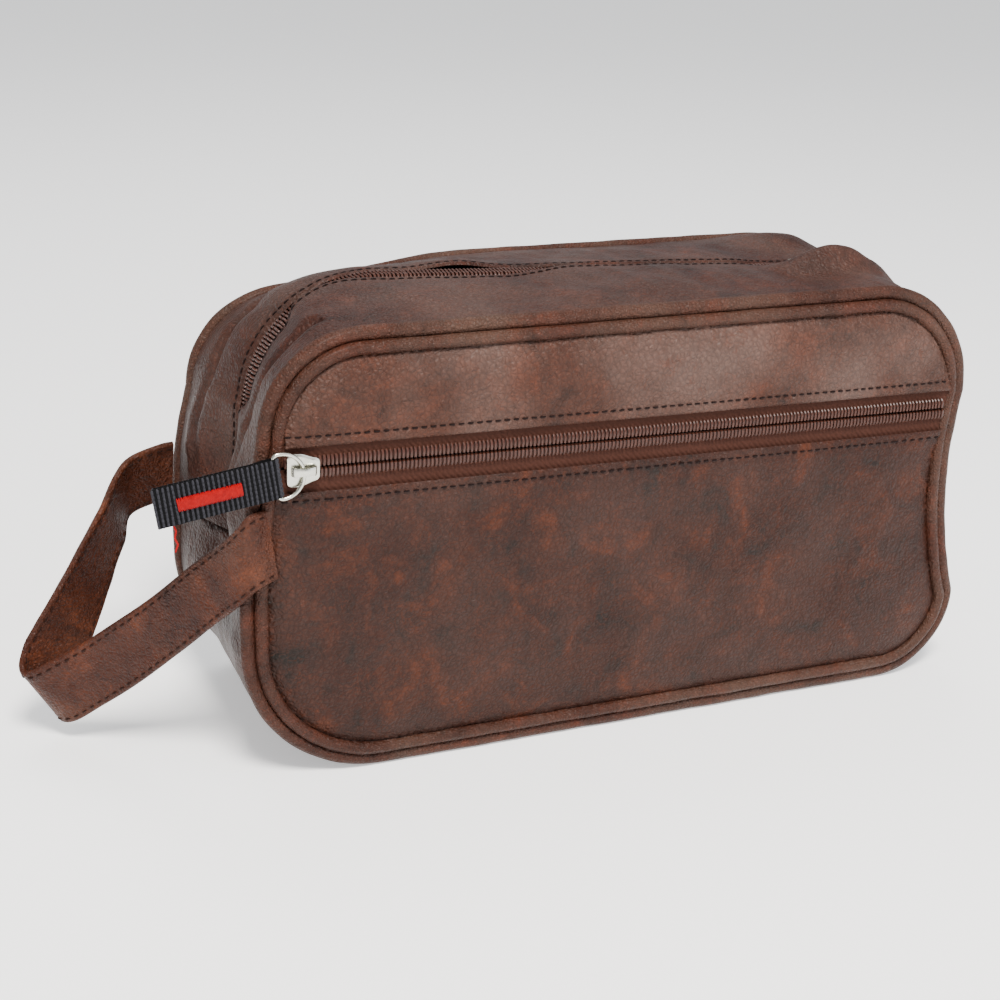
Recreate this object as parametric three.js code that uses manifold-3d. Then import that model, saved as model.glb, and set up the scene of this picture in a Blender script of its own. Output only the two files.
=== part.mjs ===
// Soft zipped kit bag: two stiffened panels, a gusset with a coil zip, a front pocket and a side strap.
// Millimetres, +Z up, +X along the bag, the pocket faces -Y, the flat underside lies at z = 0.
import * as THREE from 'three';
import { mergeVertices } from 'three/addons/utils/BufferGeometryUtils.js';
import Module from 'manifold-3d';

const wasm = await Module();
wasm.setup();

// ---- driving dimensions ----
const TOP_WIDTH = 246;
const BOTTOM_WIDTH = 258;
const SEAM_HEIGHT = 140;          // bottom to top of the piping line
const PIPING_RADIUS = 2.2;
const CORD_RADIUS = 1.3;
const SEAM_Y = 44.5;              // half the depth, at the piping centre
const BAND_OUT = 2.5;             // the gusset's outer face stands this far outside the piping line
const LEATHER = 1.2;
const GAP = 0.3;
const CORNERS = { topLeft: 30.5, topRight: 36.4, bottomLeft: 43.2, bottomRight: 27.8 };
const LEFT_BOW = 2;
const RIGHT_PINCH = 5.1;
const FABRIC = 0.5;
const FOAM = 2.2;
const LAYER_Y = { pocketLining: -41.9, foamFront: -41, liningFront: -38.4, liningBack: 43.1, foamBack: 44 };
const BINDING = { outer: -3.4, inner: -8, thick: 0.7, frontY: -37.4, backY: 42 };
const BAND_LINING = { out: -1.2, below: 3, frontY: -37.4, backY: 41.6 };
const BASE_BOARD = { left: -88, right: 98, halfDepth: 36, bottom: 1.5, top: 2.8 };
const SEAM_Z = 66;                // the zip gusset meets the bottom band at this height

const ZIP = {
  coilHalf: 3.3, coilThick: 1.5, rowGap: 0.5, tapeHalf: 11, tapeThick: 0.5, tapeTop: -1.8, tapeDip: 0.8,
  leatherHalf: 4.6, leatherTop: -0.3,
};
const MAIN_ZIP = {
  heightAtMiddle: 146.2, slope: -0.045, leftRadius: 44, rightRadius: 31, leftX: -117.5, rightX: 122,
};
const MOUTH = { left: -64.5, right: 76, edgeY: 42 };
const MAIN_SLIDER_X = 86;
const POCKET_ZIP = {
  heightAtMiddle: 102.5, slope: -0.0136, windowUp: 6.3, windowDown: -7.7, left: -118, right: 115,
};
const POCKET_SLIDER_X = -112.6;
const LIP = { left: -104, right: 97, hingeZ: 62 };
const PANEL_OUT_Y = -48;
const STRAP_THICK = 2.2;
const WEBBING = { width: 12.6, length: 36, thick: 1.1, joinedFrom: -3.9, slit: 0.2 };

// ---- materials ----
function material(colour, roughness, metalness = 0) {
  return new THREE.MeshStandardMaterial({ color: colour, roughness, metalness });
}
const LOOKS = {
  leather: () => material(0x5a372d, 0.55),
  strapLeather: () => material(0x78412d, 0.5),
  piping: () => material(0x6e483a, 0.5),
  tape: () => material(0x5f2d23, 0.9),
  coil: () => material(0x50322a, 0.45),
  metal: () => material(0xb4b6a8, 0.3, 1),
  webbing: () => material(0x121213, 0.85),
  thread: () => material(0xe60a14, 0.6),
  lining: () => material(0x2c2724, 0.9),
  foam: () => material(0xd8d2c4, 0.95),
  board: () => material(0x8a8378, 0.8),
  cord: () => material(0xe6dccb, 0.8),
};

// ---- shape helpers ----
const bag = new THREE.Group();

function addMesh(name, geometry, look, parent = bag) {
  const mesh = new THREE.Mesh(geometry, LOOKS[look]());
  mesh.name = name;
  parent.add(mesh);
  return mesh;
}

// A solid through matching cross-sections, each a ring of Vector3; it is capped unless it closes on itself.
function loft(rings, closed = false) {
  const sides = rings[0].length;
  const points = rings.flat().flatMap((p) => [p.x, p.y, p.z]);
  const faces = [];
  const spans = closed ? rings.length : rings.length - 1;
  for (let i = 0; i < spans; i++) {
    const next = (i + 1) % rings.length;
    for (let k = 0; k < sides; k++) {
      const a = i * sides + k;
      const b = i * sides + ((k + 1) % sides);
      const c = next * sides + ((k + 1) % sides);
      const d = next * sides + k;
      faces.push(a, b, c, a, c, d);
    }
  }
  if (!closed) {
    const last = (rings.length - 1) * sides;
    for (let k = 1; k < sides - 1; k++) {
      faces.push(0, k + 1, k);
      faces.push(last, last + k, last + k + 1);
    }
  }
  return outwardSolid(points, faces);
}

function outwardSolid(points, faces) {
  let volume = 0;
  const corner = (i) => new THREE.Vector3(points[3 * i], points[3 * i + 1], points[3 * i + 2]);
  for (let i = 0; i < faces.length; i += 3) {
    volume += corner(faces[i]).dot(corner(faces[i + 1]).cross(corner(faces[i + 2])));
  }
  if (volume < 0) {
    faces.reverse();
  }
  const geometry = new THREE.BufferGeometry();
  geometry.setAttribute('position', new THREE.Float32BufferAttribute(points, 3));
  geometry.setIndex(faces);
  return geometry;
}

// A flat plate: an outline in X and Z, filling the stretch of Y from yLow to yHigh.
function plate(outline, yLow, yHigh, hole = null) {
  const shape = new THREE.Shape(outline);
  if (hole) {
    shape.holes.push(new THREE.Path(hole));
  }
  const geometry = new THREE.ExtrudeGeometry(shape, { depth: yHigh - yLow, bevelEnabled: false });
  geometry.rotateX(Math.PI / 2);
  geometry.translate(0, yHigh, 0);
  return geometry;
}

function box(x0, x1, y0, y1, z0, z1) {
  const geometry = new THREE.BoxGeometry(x1 - x0, y1 - y0, z1 - z0);
  geometry.translate((x0 + x1) / 2, (y0 + y1) / 2, (z0 + z1) / 2);
  return geometry;
}

// Moves each point of a line sideways; the line's left-hand side is the positive side.
function offsetLine(line, amount, closed = false) {
  const count = line.length;
  return line.map((p, i) => {
    const before = line[closed ? (i + count - 1) % count : Math.max(i - 1, 0)];
    const after = line[closed ? (i + 1) % count : Math.min(i + 1, count - 1)];
    const along = after.clone().sub(before).normalize();
    return new THREE.Vector2(p.x - along.y * amount, p.y + along.x * amount);
  });
}

// ---- the seam outline of the front and back, in X and Z ----
const HALF_TOP = TOP_WIDTH / 2;
const HALF_BOTTOM = BOTTOM_WIDTH / 2;
const BASE_Z = BAND_OUT;
const TOP_Z = BASE_Z + SEAM_HEIGHT;
const ARC_STEPS = 8;
const SIDE_STEPS = 5;

function arcPoints(cx, cz, radius, fromDegrees, toDegrees, steps = ARC_STEPS) {
  const points = [];
  for (let i = 0; i <= steps; i++) {
    const angle = THREE.MathUtils.degToRad(THREE.MathUtils.lerp(fromDegrees, toDegrees, i / steps));
    points.push(new THREE.Vector2(cx + radius * Math.cos(angle), cz + radius * Math.sin(angle)));
  }
  return points;
}

function sidePoints(from, to, bow) {
  const middle = from.clone().add(to).multiplyScalar(0.5);
  middle.x += 2 * bow;
  const curve = new THREE.QuadraticBezierCurve(from, middle, to);
  return curve.getPoints(SIDE_STEPS).slice(1, -1);
}

const corner = {
  topLeft: arcPoints(-HALF_TOP + CORNERS.topLeft, TOP_Z - CORNERS.topLeft, CORNERS.topLeft, 180, 90),
  topRight: arcPoints(HALF_TOP - CORNERS.topRight, TOP_Z - CORNERS.topRight, CORNERS.topRight, 90, 0),
  bottomRight: arcPoints(
    HALF_BOTTOM - CORNERS.bottomRight, BASE_Z + CORNERS.bottomRight, CORNERS.bottomRight, 0, -90),
  bottomLeft: arcPoints(
    -HALF_BOTTOM + CORNERS.bottomLeft, BASE_Z + CORNERS.bottomLeft, CORNERS.bottomLeft, 270, 180),
};
const rightSide = sidePoints(corner.topRight.at(-1), corner.bottomRight[0], -RIGHT_PINCH);
const leftSide = sidePoints(corner.bottomLeft.at(-1), corner.topLeft[0], -LEFT_BOW);
const seam = [
  ...corner.topLeft, ...corner.topRight, ...rightSide, ...corner.bottomRight, ...corner.bottomLeft, ...leftSide];

function seamOffset(amount) {
  return offsetLine(seam, amount, true);
}

// The part of a line of points on one side of a height, cut exactly at that height.
function cutLine(line, height, keepAbove) {
  const kept = [];
  for (let i = 0; i < line.length; i++) {
    const p = line[i];
    const q = line[(i + 1) % line.length];
    const inside = keepAbove ? p.y > height : p.y < height;
    const nextInside = keepAbove ? q.y > height : q.y < height;
    if (inside) {
      kept.push(p);
    }
    if (inside !== nextInside) {
      kept.push(p.clone().lerp(q, (height - p.y) / (q.y - p.y)));
    }
  }
  return kept;
}

// ---- panels, foam and linings ----
function zipHeight(zip, x) {
  return zip.heightAtMiddle + zip.slope * x;
}

// Everything of an outline above, or below, a slightly sloping line.
function cutSloped(line, zip, offset, keepAbove) {
  const level = line.map((p) => new THREE.Vector2(p.x, p.y - zip.slope * p.x));
  const cut = cutLine(level, zip.heightAtMiddle + offset, keepAbove);
  return cut.map((p) => new THREE.Vector2(p.x, p.y + zip.slope * p.x));
}

const PANEL_INSET = -(PIPING_RADIUS + 0.4);
const INNER_INSET = -4;
const panelLine = seamOffset(PANEL_INSET);
const innerLine = seamOffset(INNER_INSET);
const PANEL_IN_Y = PANEL_OUT_Y + LEATHER;

addMesh('front_panel_upper',
  plate(cutSloped(panelLine, POCKET_ZIP, POCKET_ZIP.windowUp, true), PANEL_OUT_Y, PANEL_IN_Y), 'leather');

// The lower panel is notched at its top edge, where the pocket's lip folds out.
function lowerPanel() {
  const outline = cutSloped(panelLine, POCKET_ZIP, POCKET_ZIP.windowDown, false);
  const edge = (x) => new THREE.Vector2(x, zipHeight(POCKET_ZIP, x) + POCKET_ZIP.windowDown);
  const notch = [
    edge(LIP.right + GAP),
    new THREE.Vector2(LIP.right + GAP, LIP.hingeZ),
    new THREE.Vector2(LIP.left - GAP, LIP.hingeZ),
    edge(LIP.left - GAP),
  ];
  const topRight = outline.findIndex((p, i) => {
    const q = outline[(i + 1) % outline.length];
    return Math.abs(p.x - q.x) > BOTTOM_WIDTH / 2 && p.y > LIP.hingeZ;
  });
  const leftFirst = outline[topRight].x < 0;
  const insert = leftFirst ? notch.reverse() : notch;
  return [...outline.slice(0, topRight + 1), ...insert, ...outline.slice(topRight + 1)];
}
addMesh('front_panel_lower', plate(lowerPanel(), PANEL_OUT_Y, PANEL_IN_Y), 'leather');
addMesh('back_panel', plate(panelLine, -PANEL_IN_Y, -PANEL_OUT_Y), 'leather');
addMesh('pocket_lining', plate(innerLine, LAYER_Y.pocketLining, LAYER_Y.pocketLining + FABRIC), 'lining');
addMesh('foam_front', plate(innerLine, LAYER_Y.foamFront, LAYER_Y.foamFront + FOAM), 'foam');
addMesh('lining_front', plate(innerLine, LAYER_Y.liningFront, LAYER_Y.liningFront + FABRIC), 'lining');
addMesh('lining_back', plate(innerLine, LAYER_Y.liningBack, LAYER_Y.liningBack + FABRIC), 'lining');
addMesh('foam_back', plate(innerLine, LAYER_Y.foamBack, LAYER_Y.foamBack + FOAM), 'foam');

// ---- piping: a leather cover wrapped round a cord, open along the seam ----
function seamTube(section, sideSign) {
  const steps = section.map((s) => seamOffset(s.out));
  const rings = seam.map((_, i) => section.map((s, k) => {
    const p = steps[k][i];
    return new THREE.Vector3(p.x, sideSign * (SEAM_Y + s.y), p.y);
  }));
  return loft(rings, true);
}

function arcSection(radius, from, to, count) {
  return Array.from({ length: count }, (_, i) => {
    const angle = THREE.MathUtils.degToRad(from + ((to - from) * i) / (count - 1));
    return { out: radius * Math.cos(angle), y: radius * Math.sin(angle) };
  });
}
const PIPING_OPENING = 200;       // the cover's slit faces inwards, towards the seam allowance
const coverSection = [
  ...arcSection(PIPING_RADIUS, PIPING_OPENING - 345, PIPING_OPENING - 15, 8),
  ...arcSection(CORD_RADIUS + 0.25, PIPING_OPENING - 15, PIPING_OPENING - 345, 7),
];
const cordSection = arcSection(CORD_RADIUS, 0, 300, 6);
for (const [place, sideSign] of [['front', -1], ['back', 1]]) {
  addMesh(`piping_cover_${place}`, seamTube(coverSection, sideSign), 'piping');
  addMesh(`piping_cord_${place}`, seamTube(cordSection, sideSign), 'cord');
}

// ---- bottom band, its lining, the base board and the seam bindings ----
function bandPlate(outLow, outHigh, height, yLow, yHigh) {
  const outer = cutLine(seamOffset(outHigh), height, false);
  const inner = cutLine(seamOffset(outLow), height, false);
  return plate([...orderedFromRight(outer), ...orderedFromRight(inner).reverse()], yLow, yHigh);
}

// Rotates a cut line so that it runs in one go from the right side, under the bag, to the left side.
function orderedFromRight(line) {
  const start = line.findIndex((p, i) => {
    const before = line[(i + line.length - 1) % line.length];
    return p.x > 0 && before.x < 0 && p.y > LIP.hingeZ;
  });
  return [...line.slice(start), ...line.slice(0, start)];
}
const GUSSET_Y = 42;
addMesh('gusset_bottom_band',
  bandPlate(BAND_OUT - LEATHER, BAND_OUT, SEAM_Z, -GUSSET_Y, GUSSET_Y), 'leather');
addMesh('lining_band',
  bandPlate(BAND_LINING.out, BAND_LINING.out + FABRIC, SEAM_Z - BAND_LINING.below,
    BAND_LINING.frontY, BAND_LINING.backY), 'lining');
addMesh('base_board',
  box(BASE_BOARD.left, BASE_BOARD.right, -BASE_BOARD.halfDepth, BASE_BOARD.halfDepth,
    BASE_BOARD.bottom, BASE_BOARD.top), 'board');
for (const [place, yLow] of [['front', BINDING.frontY], ['back', BINDING.backY]]) {
  addMesh(`seam_binding_${place}`,
    plate(seamOffset(BINDING.outer), yLow, yLow + BINDING.thick, seamOffset(BINDING.inner).reverse()),
    'lining');
}

// ---- main zip: two halves of gusset strip, tape and coil, at each corner and along the mouth ----
function cornerLine(sideX, lowX, radius, topZ, topX, sign) {
  const arcs = arcPoints(sign * (Math.abs(sideX) - radius), topZ - radius, radius, sign > 0 ? 0 : 180, 90);
  const path = new THREE.Path([
    new THREE.Vector2(lowX, SEAM_Z + GAP), ...arcs, topX]);
  return path.getSpacedPoints(18);
}
const mainEnd = {
  left: new THREE.Vector2(MOUTH.left - GAP / 2, zipHeight(MAIN_ZIP, MOUTH.left - GAP / 2)),
  right: new THREE.Vector2(MOUTH.right + GAP / 2, zipHeight(MAIN_ZIP, MOUTH.right + GAP / 2)),
};
const zipLine = {
  left: cornerLine(MAIN_ZIP.leftX, MAIN_ZIP.leftX - 1, MAIN_ZIP.leftRadius,
    zipHeight(MAIN_ZIP, MAIN_ZIP.leftX + MAIN_ZIP.leftRadius), mainEnd.left, -1),
  right: cornerLine(MAIN_ZIP.rightX, MAIN_ZIP.rightX - 2, MAIN_ZIP.rightRadius,
    zipHeight(MAIN_ZIP, MAIN_ZIP.rightX - MAIN_ZIP.rightRadius), mainEnd.right, 1),
};
const edgeLine = {
  left: cornerLine(-HALF_TOP, -HALF_TOP - 4, CORNERS.topLeft, TOP_Z,
    new THREE.Vector2(mainEnd.left.x, TOP_Z), -1),
  right: cornerLine(HALF_TOP, HALF_TOP - 2, CORNERS.topRight, TOP_Z,
    new THREE.Vector2(mainEnd.right.x, TOP_Z), 1),
};
zipLine.mouth = [
  new THREE.Vector2(MOUTH.left + GAP / 2, zipHeight(MAIN_ZIP, MOUTH.left + GAP / 2)),
  new THREE.Vector2(MOUTH.right - GAP / 2, zipHeight(MAIN_ZIP, MOUTH.right - GAP / 2)),
];
edgeLine.mouth = zipLine.mouth.map((p) => new THREE.Vector2(p.x, TOP_Z));

// A strip from one line to another: each line has its own place across the bag and its own offsets.
function strip(lineA, yA, lowA, highA, lineB, yB, lowB, highB, flip) {
  const sign = flip ? -1 : 1;
  const [aLow, aHigh] = [offsetLine(lineA, sign * lowA), offsetLine(lineA, sign * highA)];
  const [bLow, bHigh] = [offsetLine(lineB, sign * lowB), offsetLine(lineB, sign * highB)];
  const at = (p, y) => new THREE.Vector3(p.x, y, p.y);
  const rings = lineA.map((_, i) => [at(aLow[i], yA), at(bLow[i], yB), at(bHigh[i], yB), at(aHigh[i], yA)]);
  return loft(rings);
}

const TAPE_LOW = ZIP.tapeTop - ZIP.tapeThick;
for (const place of ['left', 'right', 'mouth']) {
  const flip = place === 'right';
  const zip = zipLine[place];
  for (const [face, s] of [['front', -1], ['back', 1]]) {
    const end = `${place}_${face}`;
    addMesh(`gusset_strip_${end}`, strip(
      edgeLine[place], s * GUSSET_Y, BAND_OUT - LEATHER, BAND_OUT,
      zip, s * ZIP.leatherHalf, ZIP.leatherTop - LEATHER, ZIP.leatherTop, flip), 'leather');
    addMesh(`zip_tape_${end}`, strip(
      zip, s * ZIP.tapeHalf, TAPE_LOW - ZIP.tapeDip, ZIP.tapeTop - ZIP.tapeDip,
      zip, s * ZIP.rowGap, TAPE_LOW, ZIP.tapeTop, flip), 'tape');
    addMesh(`zip_coil_${end}`, strip(
      zip, s * ZIP.coilHalf, -ZIP.coilThick, 0,
      zip, s * ZIP.rowGap, -ZIP.coilThick, 0, flip), 'coil');
  }
}

// ---- a slider: two plates joined between the coil rows, and a bridge that holds the pull ring ----
const SLIDER = {
  half: 5, halfWidth: 5.1, topLow: 0.3, topHigh: 1.2, bottomLow: -3.5, bottomHigh: -2.8, web: 0.2,
};
const BRIDGE = { half: 3.4, halfWidth: 1.1, high: 3.7, holeHalf: 2.2, holeHigh: 3 };
const RING = { wire: 0.55, at: 2.1 };
const MAIN_RING = { length: 13, width: 11, x: -0.6 };

function solid(geometry) {
  const bare = geometry.clone();
  bare.deleteAttribute('normal');
  bare.deleteAttribute('uv');
  const merged = mergeVertices(bare, 1e-4);
  return new wasm.Manifold(new wasm.Mesh({
    numProp: 3,
    vertProperties: new Float32Array(merged.attributes.position.array),
    triVerts: new Uint32Array(merged.index.array),
  }));
}

function geometryOf(body) {
  const mesh = body.getMesh();
  const geometry = new THREE.BufferGeometry();
  geometry.setAttribute('position', new THREE.BufferAttribute(new Float32Array(mesh.vertProperties), 3));
  geometry.setIndex(new THREE.BufferAttribute(new Uint32Array(mesh.triVerts), 1));
  return geometry;
}

// Local frame of a slider: X along the zip, Y across it, Z out of the bag, Z = 0 on top of the coil.
function sliderBody() {
  const { half, halfWidth, web } = SLIDER;
  const top = solid(box(-half, half, -halfWidth, halfWidth, SLIDER.topLow, SLIDER.topHigh));
  const bottom = solid(box(-half, half, -halfWidth, halfWidth, SLIDER.bottomLow, SLIDER.bottomHigh));
  const joiner = solid(box(-half, half, -web, web, SLIDER.bottomHigh - 0.1, SLIDER.topLow + 0.1));
  const bridge = solid(box(-BRIDGE.half, BRIDGE.half, -BRIDGE.halfWidth, BRIDGE.halfWidth,
    SLIDER.topHigh - 0.1, BRIDGE.high));
  const hole = solid(box(-BRIDGE.holeHalf, BRIDGE.holeHalf, -5, 5, SLIDER.topHigh, BRIDGE.holeHigh));
  return geometryOf(top.add(bottom).add(joiner).add(bridge.subtract(hole)));
}

// A wire ring in the plane of its frame's X and Y: a straight bar at -X, and a round end through the bridge.
function ringWire(length, width) {
  const r = width / 2;
  const line = [
    new THREE.Vector2(-length + RING.wire, -r), ...arcPoints(-r, 0, r, -90, 90, 10),
    new THREE.Vector2(-length + RING.wire, r)];
  const path = new THREE.Path([...line, line[0]]).getSpacedPoints(36).slice(0, -1);
  const section = arcSection(RING.wire, 0, 300, 6);
  const steps = section.map((s) => offsetLine(path, -s.out, true));
  const rings = path.map((_, i) => section.map((s, k) => new THREE.Vector3(steps[k][i].x, steps[k][i].y, s.y)));
  return loft(rings, true);
}

// ---- main slider, near the right-hand end of the mouth, with its ring lying over the corner ----
const mainSlider = new THREE.Group();
mainSlider.position.set(MAIN_SLIDER_X, 0, zipHeight(MAIN_ZIP, MAIN_SLIDER_X));
mainSlider.rotation.y = -Math.atan(MAIN_ZIP.slope);
bag.add(mainSlider);
addMesh('main_slider_body', sliderBody(), 'metal', mainSlider);
const mainRing = new THREE.Group();
mainRing.position.set(MAIN_RING.x, 0, RING.at);
mainRing.rotation.z = Math.PI;
mainSlider.add(mainRing);
addMesh('main_slider_ring', ringWire(MAIN_RING.length, MAIN_RING.width), 'metal', mainRing);

// ---- pocket zip: upper half fixed to the panel, lower half on the lip and its two ends ----
// Its frame has X along the zip, Y up the panel and Z out of the bag.
const POCKET_COIL_Y = -48.3;
const pocketZip = new THREE.Group();
pocketZip.position.set(0, POCKET_COIL_Y, POCKET_ZIP.heightAtMiddle);
pocketZip.rotation.set(Math.PI / 2, 0, 0);
const pocketTilt = new THREE.Group();
pocketTilt.rotation.z = Math.atan(POCKET_ZIP.slope);
pocketZip.add(pocketTilt);
bag.add(pocketZip);

function pocketRow(name, x0, x1, sign) {
  const side = (low, high) => (sign > 0 ? [low, high] : [-high, -low]);
  addMesh(`pocket_tape_${name}`,
    box(x0, x1, ...side(ZIP.rowGap, ZIP.tapeHalf), TAPE_LOW, ZIP.tapeTop), 'tape', pocketTilt);
  addMesh(`pocket_coil_${name}`,
    box(x0, x1, ...side(ZIP.rowGap, ZIP.coilHalf), -ZIP.coilThick, 0), 'coil', pocketTilt);
}
pocketRow('upper', POCKET_ZIP.left, POCKET_ZIP.right, 1);
pocketRow('lower_left', POCKET_ZIP.left, LIP.left - GAP, -1);
pocketRow('lower_right', LIP.right + GAP, POCKET_ZIP.right, -1);
pocketRow('lip', LIP.left, LIP.right, -1);
addMesh('pocket_lip', plate([
  new THREE.Vector2(LIP.left, LIP.hingeZ + GAP),
  new THREE.Vector2(LIP.right, LIP.hingeZ + GAP),
  new THREE.Vector2(LIP.right, zipHeight(POCKET_ZIP, LIP.right) + POCKET_ZIP.windowDown),
  new THREE.Vector2(LIP.left, zipHeight(POCKET_ZIP, LIP.left) + POCKET_ZIP.windowDown),
], PANEL_OUT_Y, PANEL_IN_Y), 'leather');

// ---- pocket slider, its ring and the webbing tab ----
const pocketSlider = new THREE.Group();
pocketSlider.position.set(POCKET_SLIDER_X, 0, 0);
pocketTilt.add(pocketSlider);
addMesh('pocket_slider_body', sliderBody(), 'metal', pocketSlider);
const POCKET_RING = { length: 9.2, width: 14, x: -0.2, turn: 9 };
const pocketRing = new THREE.Group();
pocketRing.position.set(POCKET_RING.x, 0, RING.at);
pocketRing.rotation.z = THREE.MathUtils.degToRad(POCKET_RING.turn);
pocketSlider.add(pocketRing);
addMesh('pocket_slider_ring', ringWire(POCKET_RING.length, POCKET_RING.width), 'metal', pocketRing);

// The webbing is folded round the ring's straight bar; its two layers are sewn together with a bar tack.
function foldedWebbing() {
  const inner = RING.wire + GAP;
  const outer = inner + WEBBING.thick;
  const end = -WEBBING.length;
  const joined = WEBBING.joinedFrom;
  const slit = WEBBING.slit / 2;
  return plate([
    new THREE.Vector2(end, outer), ...arcPoints(0, 0, outer, 90, -90, 8), new THREE.Vector2(end, -outer),
    new THREE.Vector2(end, -slit), new THREE.Vector2(joined, -slit),
    ...arcPoints(0, 0, inner, -90, 90, 6),
    new THREE.Vector2(joined, slit), new THREE.Vector2(end, slit),
  ], -WEBBING.width / 2, WEBBING.width / 2);
}
const tab = new THREE.Group();
tab.position.set(-POCKET_RING.length + RING.wire, 0, 0);
pocketRing.add(tab);
addMesh('pocket_tab_webbing', foldedWebbing(), 'webbing', tab);
const BAR_TACK = { from: -29, to: -11, halfWidth: 2, thick: 0.5 };
const WEBBING_TOP = RING.wire + GAP + WEBBING.thick;
addMesh('pocket_tab_bar_tack',
  box(BAR_TACK.from, BAR_TACK.to, -BAR_TACK.halfWidth, BAR_TACK.halfWidth,
    WEBBING_TOP + GAP, WEBBING_TOP + GAP + BAR_TACK.thick), 'thread', tab);

// ---- side strap: a loop caught in the front and back seams on the left ----
// Each pair is a point of the strap's upper edge and one of its lower edge, from the front seam to the back.
const at = (x, y, z) => new THREE.Vector3(x, y, z);
const strapEdges = [
  [at(-124.5, -49.6, 91.5), at(-121.5, -49.6, 70)],
  [at(-130, -49.6, 90.5), at(-127, -49.6, 69)],
  [at(-134, -45.5, 86), at(-133, -47, 60.5)],
  [at(-140, -36.5, 77), at(-138, -37, 51)],
  [at(-155.5, -20, 56), at(-151.5, -20, 32)],
  [at(-172, -5, 38), at(-166, -5, 15.5)],
  [at(-187, 3.5, 27), at(-175.5, 3.5, 6.8)],
  [at(-190, 8, 27.5), at(-177.5, 9.5, 8)],
  [at(-186, 11, 34), at(-171, 15, 20)],
  [at(-179, 13, 44), at(-162.5, 22, 34)],
  [at(-168, 19.5, 58.5), at(-155, 32, 45)],
  [at(-158.5, 26.5, 70), at(-150, 38, 53.5)],
  [at(-152, 31, 79), at(-148, 40.5, 60.5)],
  [at(-146, 35, 83.5), at(-144, 42.3, 63)],
  [at(-136.1, 37.2, 86), at(-136.1, 43.3, 65)],
  [at(-131.7, 38, 86.5), at(-131.7, 43.6, 65)],
];
const FRONT_SPLIT = 2;
const BACK_SPLIT = 14;
const SPLIT_GAP = 0.02;           // a share of one stretch between pairs, about 0.3 mm
const upperEdge = new THREE.CatmullRomCurve3(strapEdges.map((pair) => pair[0]));
const lowerEdge = new THREE.CatmullRomCurve3(strapEdges.map((pair) => pair[1]));

// The strap between two places along it, counted in pairs.
function strapSolid(from, to, steps) {
  const rings = [];
  for (let i = 0; i <= steps; i++) {
    const t = THREE.MathUtils.lerp(from, to, i / steps) / (strapEdges.length - 1);
    const upper = upperEdge.getPoint(t);
    const lower = lowerEdge.getPoint(t);
    const across = upper.clone().sub(lower).normalize();
    const along = upperEdge.getTangent(t).add(lowerEdge.getTangent(t));
    const out = new THREE.Vector3().crossVectors(along, across).normalize();
    const face = (side) => [lower, upper].map((p) => p.clone().addScaledVector(out, side * STRAP_THICK / 2));
    rings.push([...face(-1), ...face(1).reverse()]);
  }
  return loft(rings);
}
addMesh('strap_end_front', strapSolid(0, FRONT_SPLIT - SPLIT_GAP, 6), 'strapLeather');
addMesh('strap_loop', strapSolid(FRONT_SPLIT + SPLIT_GAP, BACK_SPLIT - SPLIT_GAP, 44), 'strapLeather');
addMesh('strap_end_back', strapSolid(BACK_SPLIT + SPLIT_GAP * 2, strapEdges.length - 1, 2), 'strapLeather');

// ---- the back's upper left corner slumps, and takes the gusset's edge with it ----
const SLUMP = { depth: 8.5, fromX: -64.9, toX: -108, fromY: 8, toY: 42, fromZ: 72, toZ: 122 };
const SLUMPED = [
  'piping_cover_back', 'piping_cord_back', 'back_panel', 'foam_back', 'lining_back', 'seam_binding_back',
  'gusset_strip_left_back', 'zip_tape_left_back', 'zip_coil_left_back'];
for (const name of SLUMPED) {
  const place = bag.getObjectByName(name).geometry.attributes.position;
  for (let i = 0; i < place.count; i++) {
    const along = 1 - THREE.MathUtils.smoothstep(place.getX(i), SLUMP.toX, SLUMP.fromX);
    const back = THREE.MathUtils.smoothstep(place.getY(i), SLUMP.fromY, SLUMP.toY);
    const up = THREE.MathUtils.smoothstep(place.getZ(i), SLUMP.fromZ, SLUMP.toZ);
    place.setZ(i, place.getZ(i) - SLUMP.depth * along * back * up);
  }
}

export default bag;
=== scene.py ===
import math
import bpy
import numpy as np
from mathutils import Matrix, Vector


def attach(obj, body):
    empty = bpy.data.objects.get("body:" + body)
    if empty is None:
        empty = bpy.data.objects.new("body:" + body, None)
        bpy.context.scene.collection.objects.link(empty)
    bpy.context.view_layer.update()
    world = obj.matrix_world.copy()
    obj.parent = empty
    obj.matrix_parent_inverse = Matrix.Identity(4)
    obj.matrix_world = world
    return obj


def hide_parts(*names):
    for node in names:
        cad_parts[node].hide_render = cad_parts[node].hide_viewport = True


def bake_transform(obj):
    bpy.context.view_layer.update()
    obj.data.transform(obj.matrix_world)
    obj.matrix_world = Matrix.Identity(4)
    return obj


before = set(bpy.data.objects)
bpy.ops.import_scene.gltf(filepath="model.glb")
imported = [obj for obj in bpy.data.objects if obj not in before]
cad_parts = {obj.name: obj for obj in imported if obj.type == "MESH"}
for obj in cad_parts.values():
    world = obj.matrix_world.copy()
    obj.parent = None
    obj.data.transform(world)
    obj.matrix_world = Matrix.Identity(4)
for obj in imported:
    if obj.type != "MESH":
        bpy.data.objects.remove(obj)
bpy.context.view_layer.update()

# ---- Camera and studio ----
# A 63 mm lens about 60 cm from the bag, a little above it and to its left, with soft daylight panels
# on a pale sweep.
camera = bpy.data.objects.new("camera", bpy.data.cameras.new("camera"))
bpy.context.scene.collection.objects.link(camera)
bpy.context.scene.camera = camera
camera.data.lens = 63.2
camera.data.sensor_width = 36
camera.data.clip_start = 0.01
look_at = Vector((-0.0282, 0, 0.0674))
azimuth, elevation, roll, distance = (math.radians(-23.55), math.radians(20.36), math.radians(1.83), 0.6)
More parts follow.
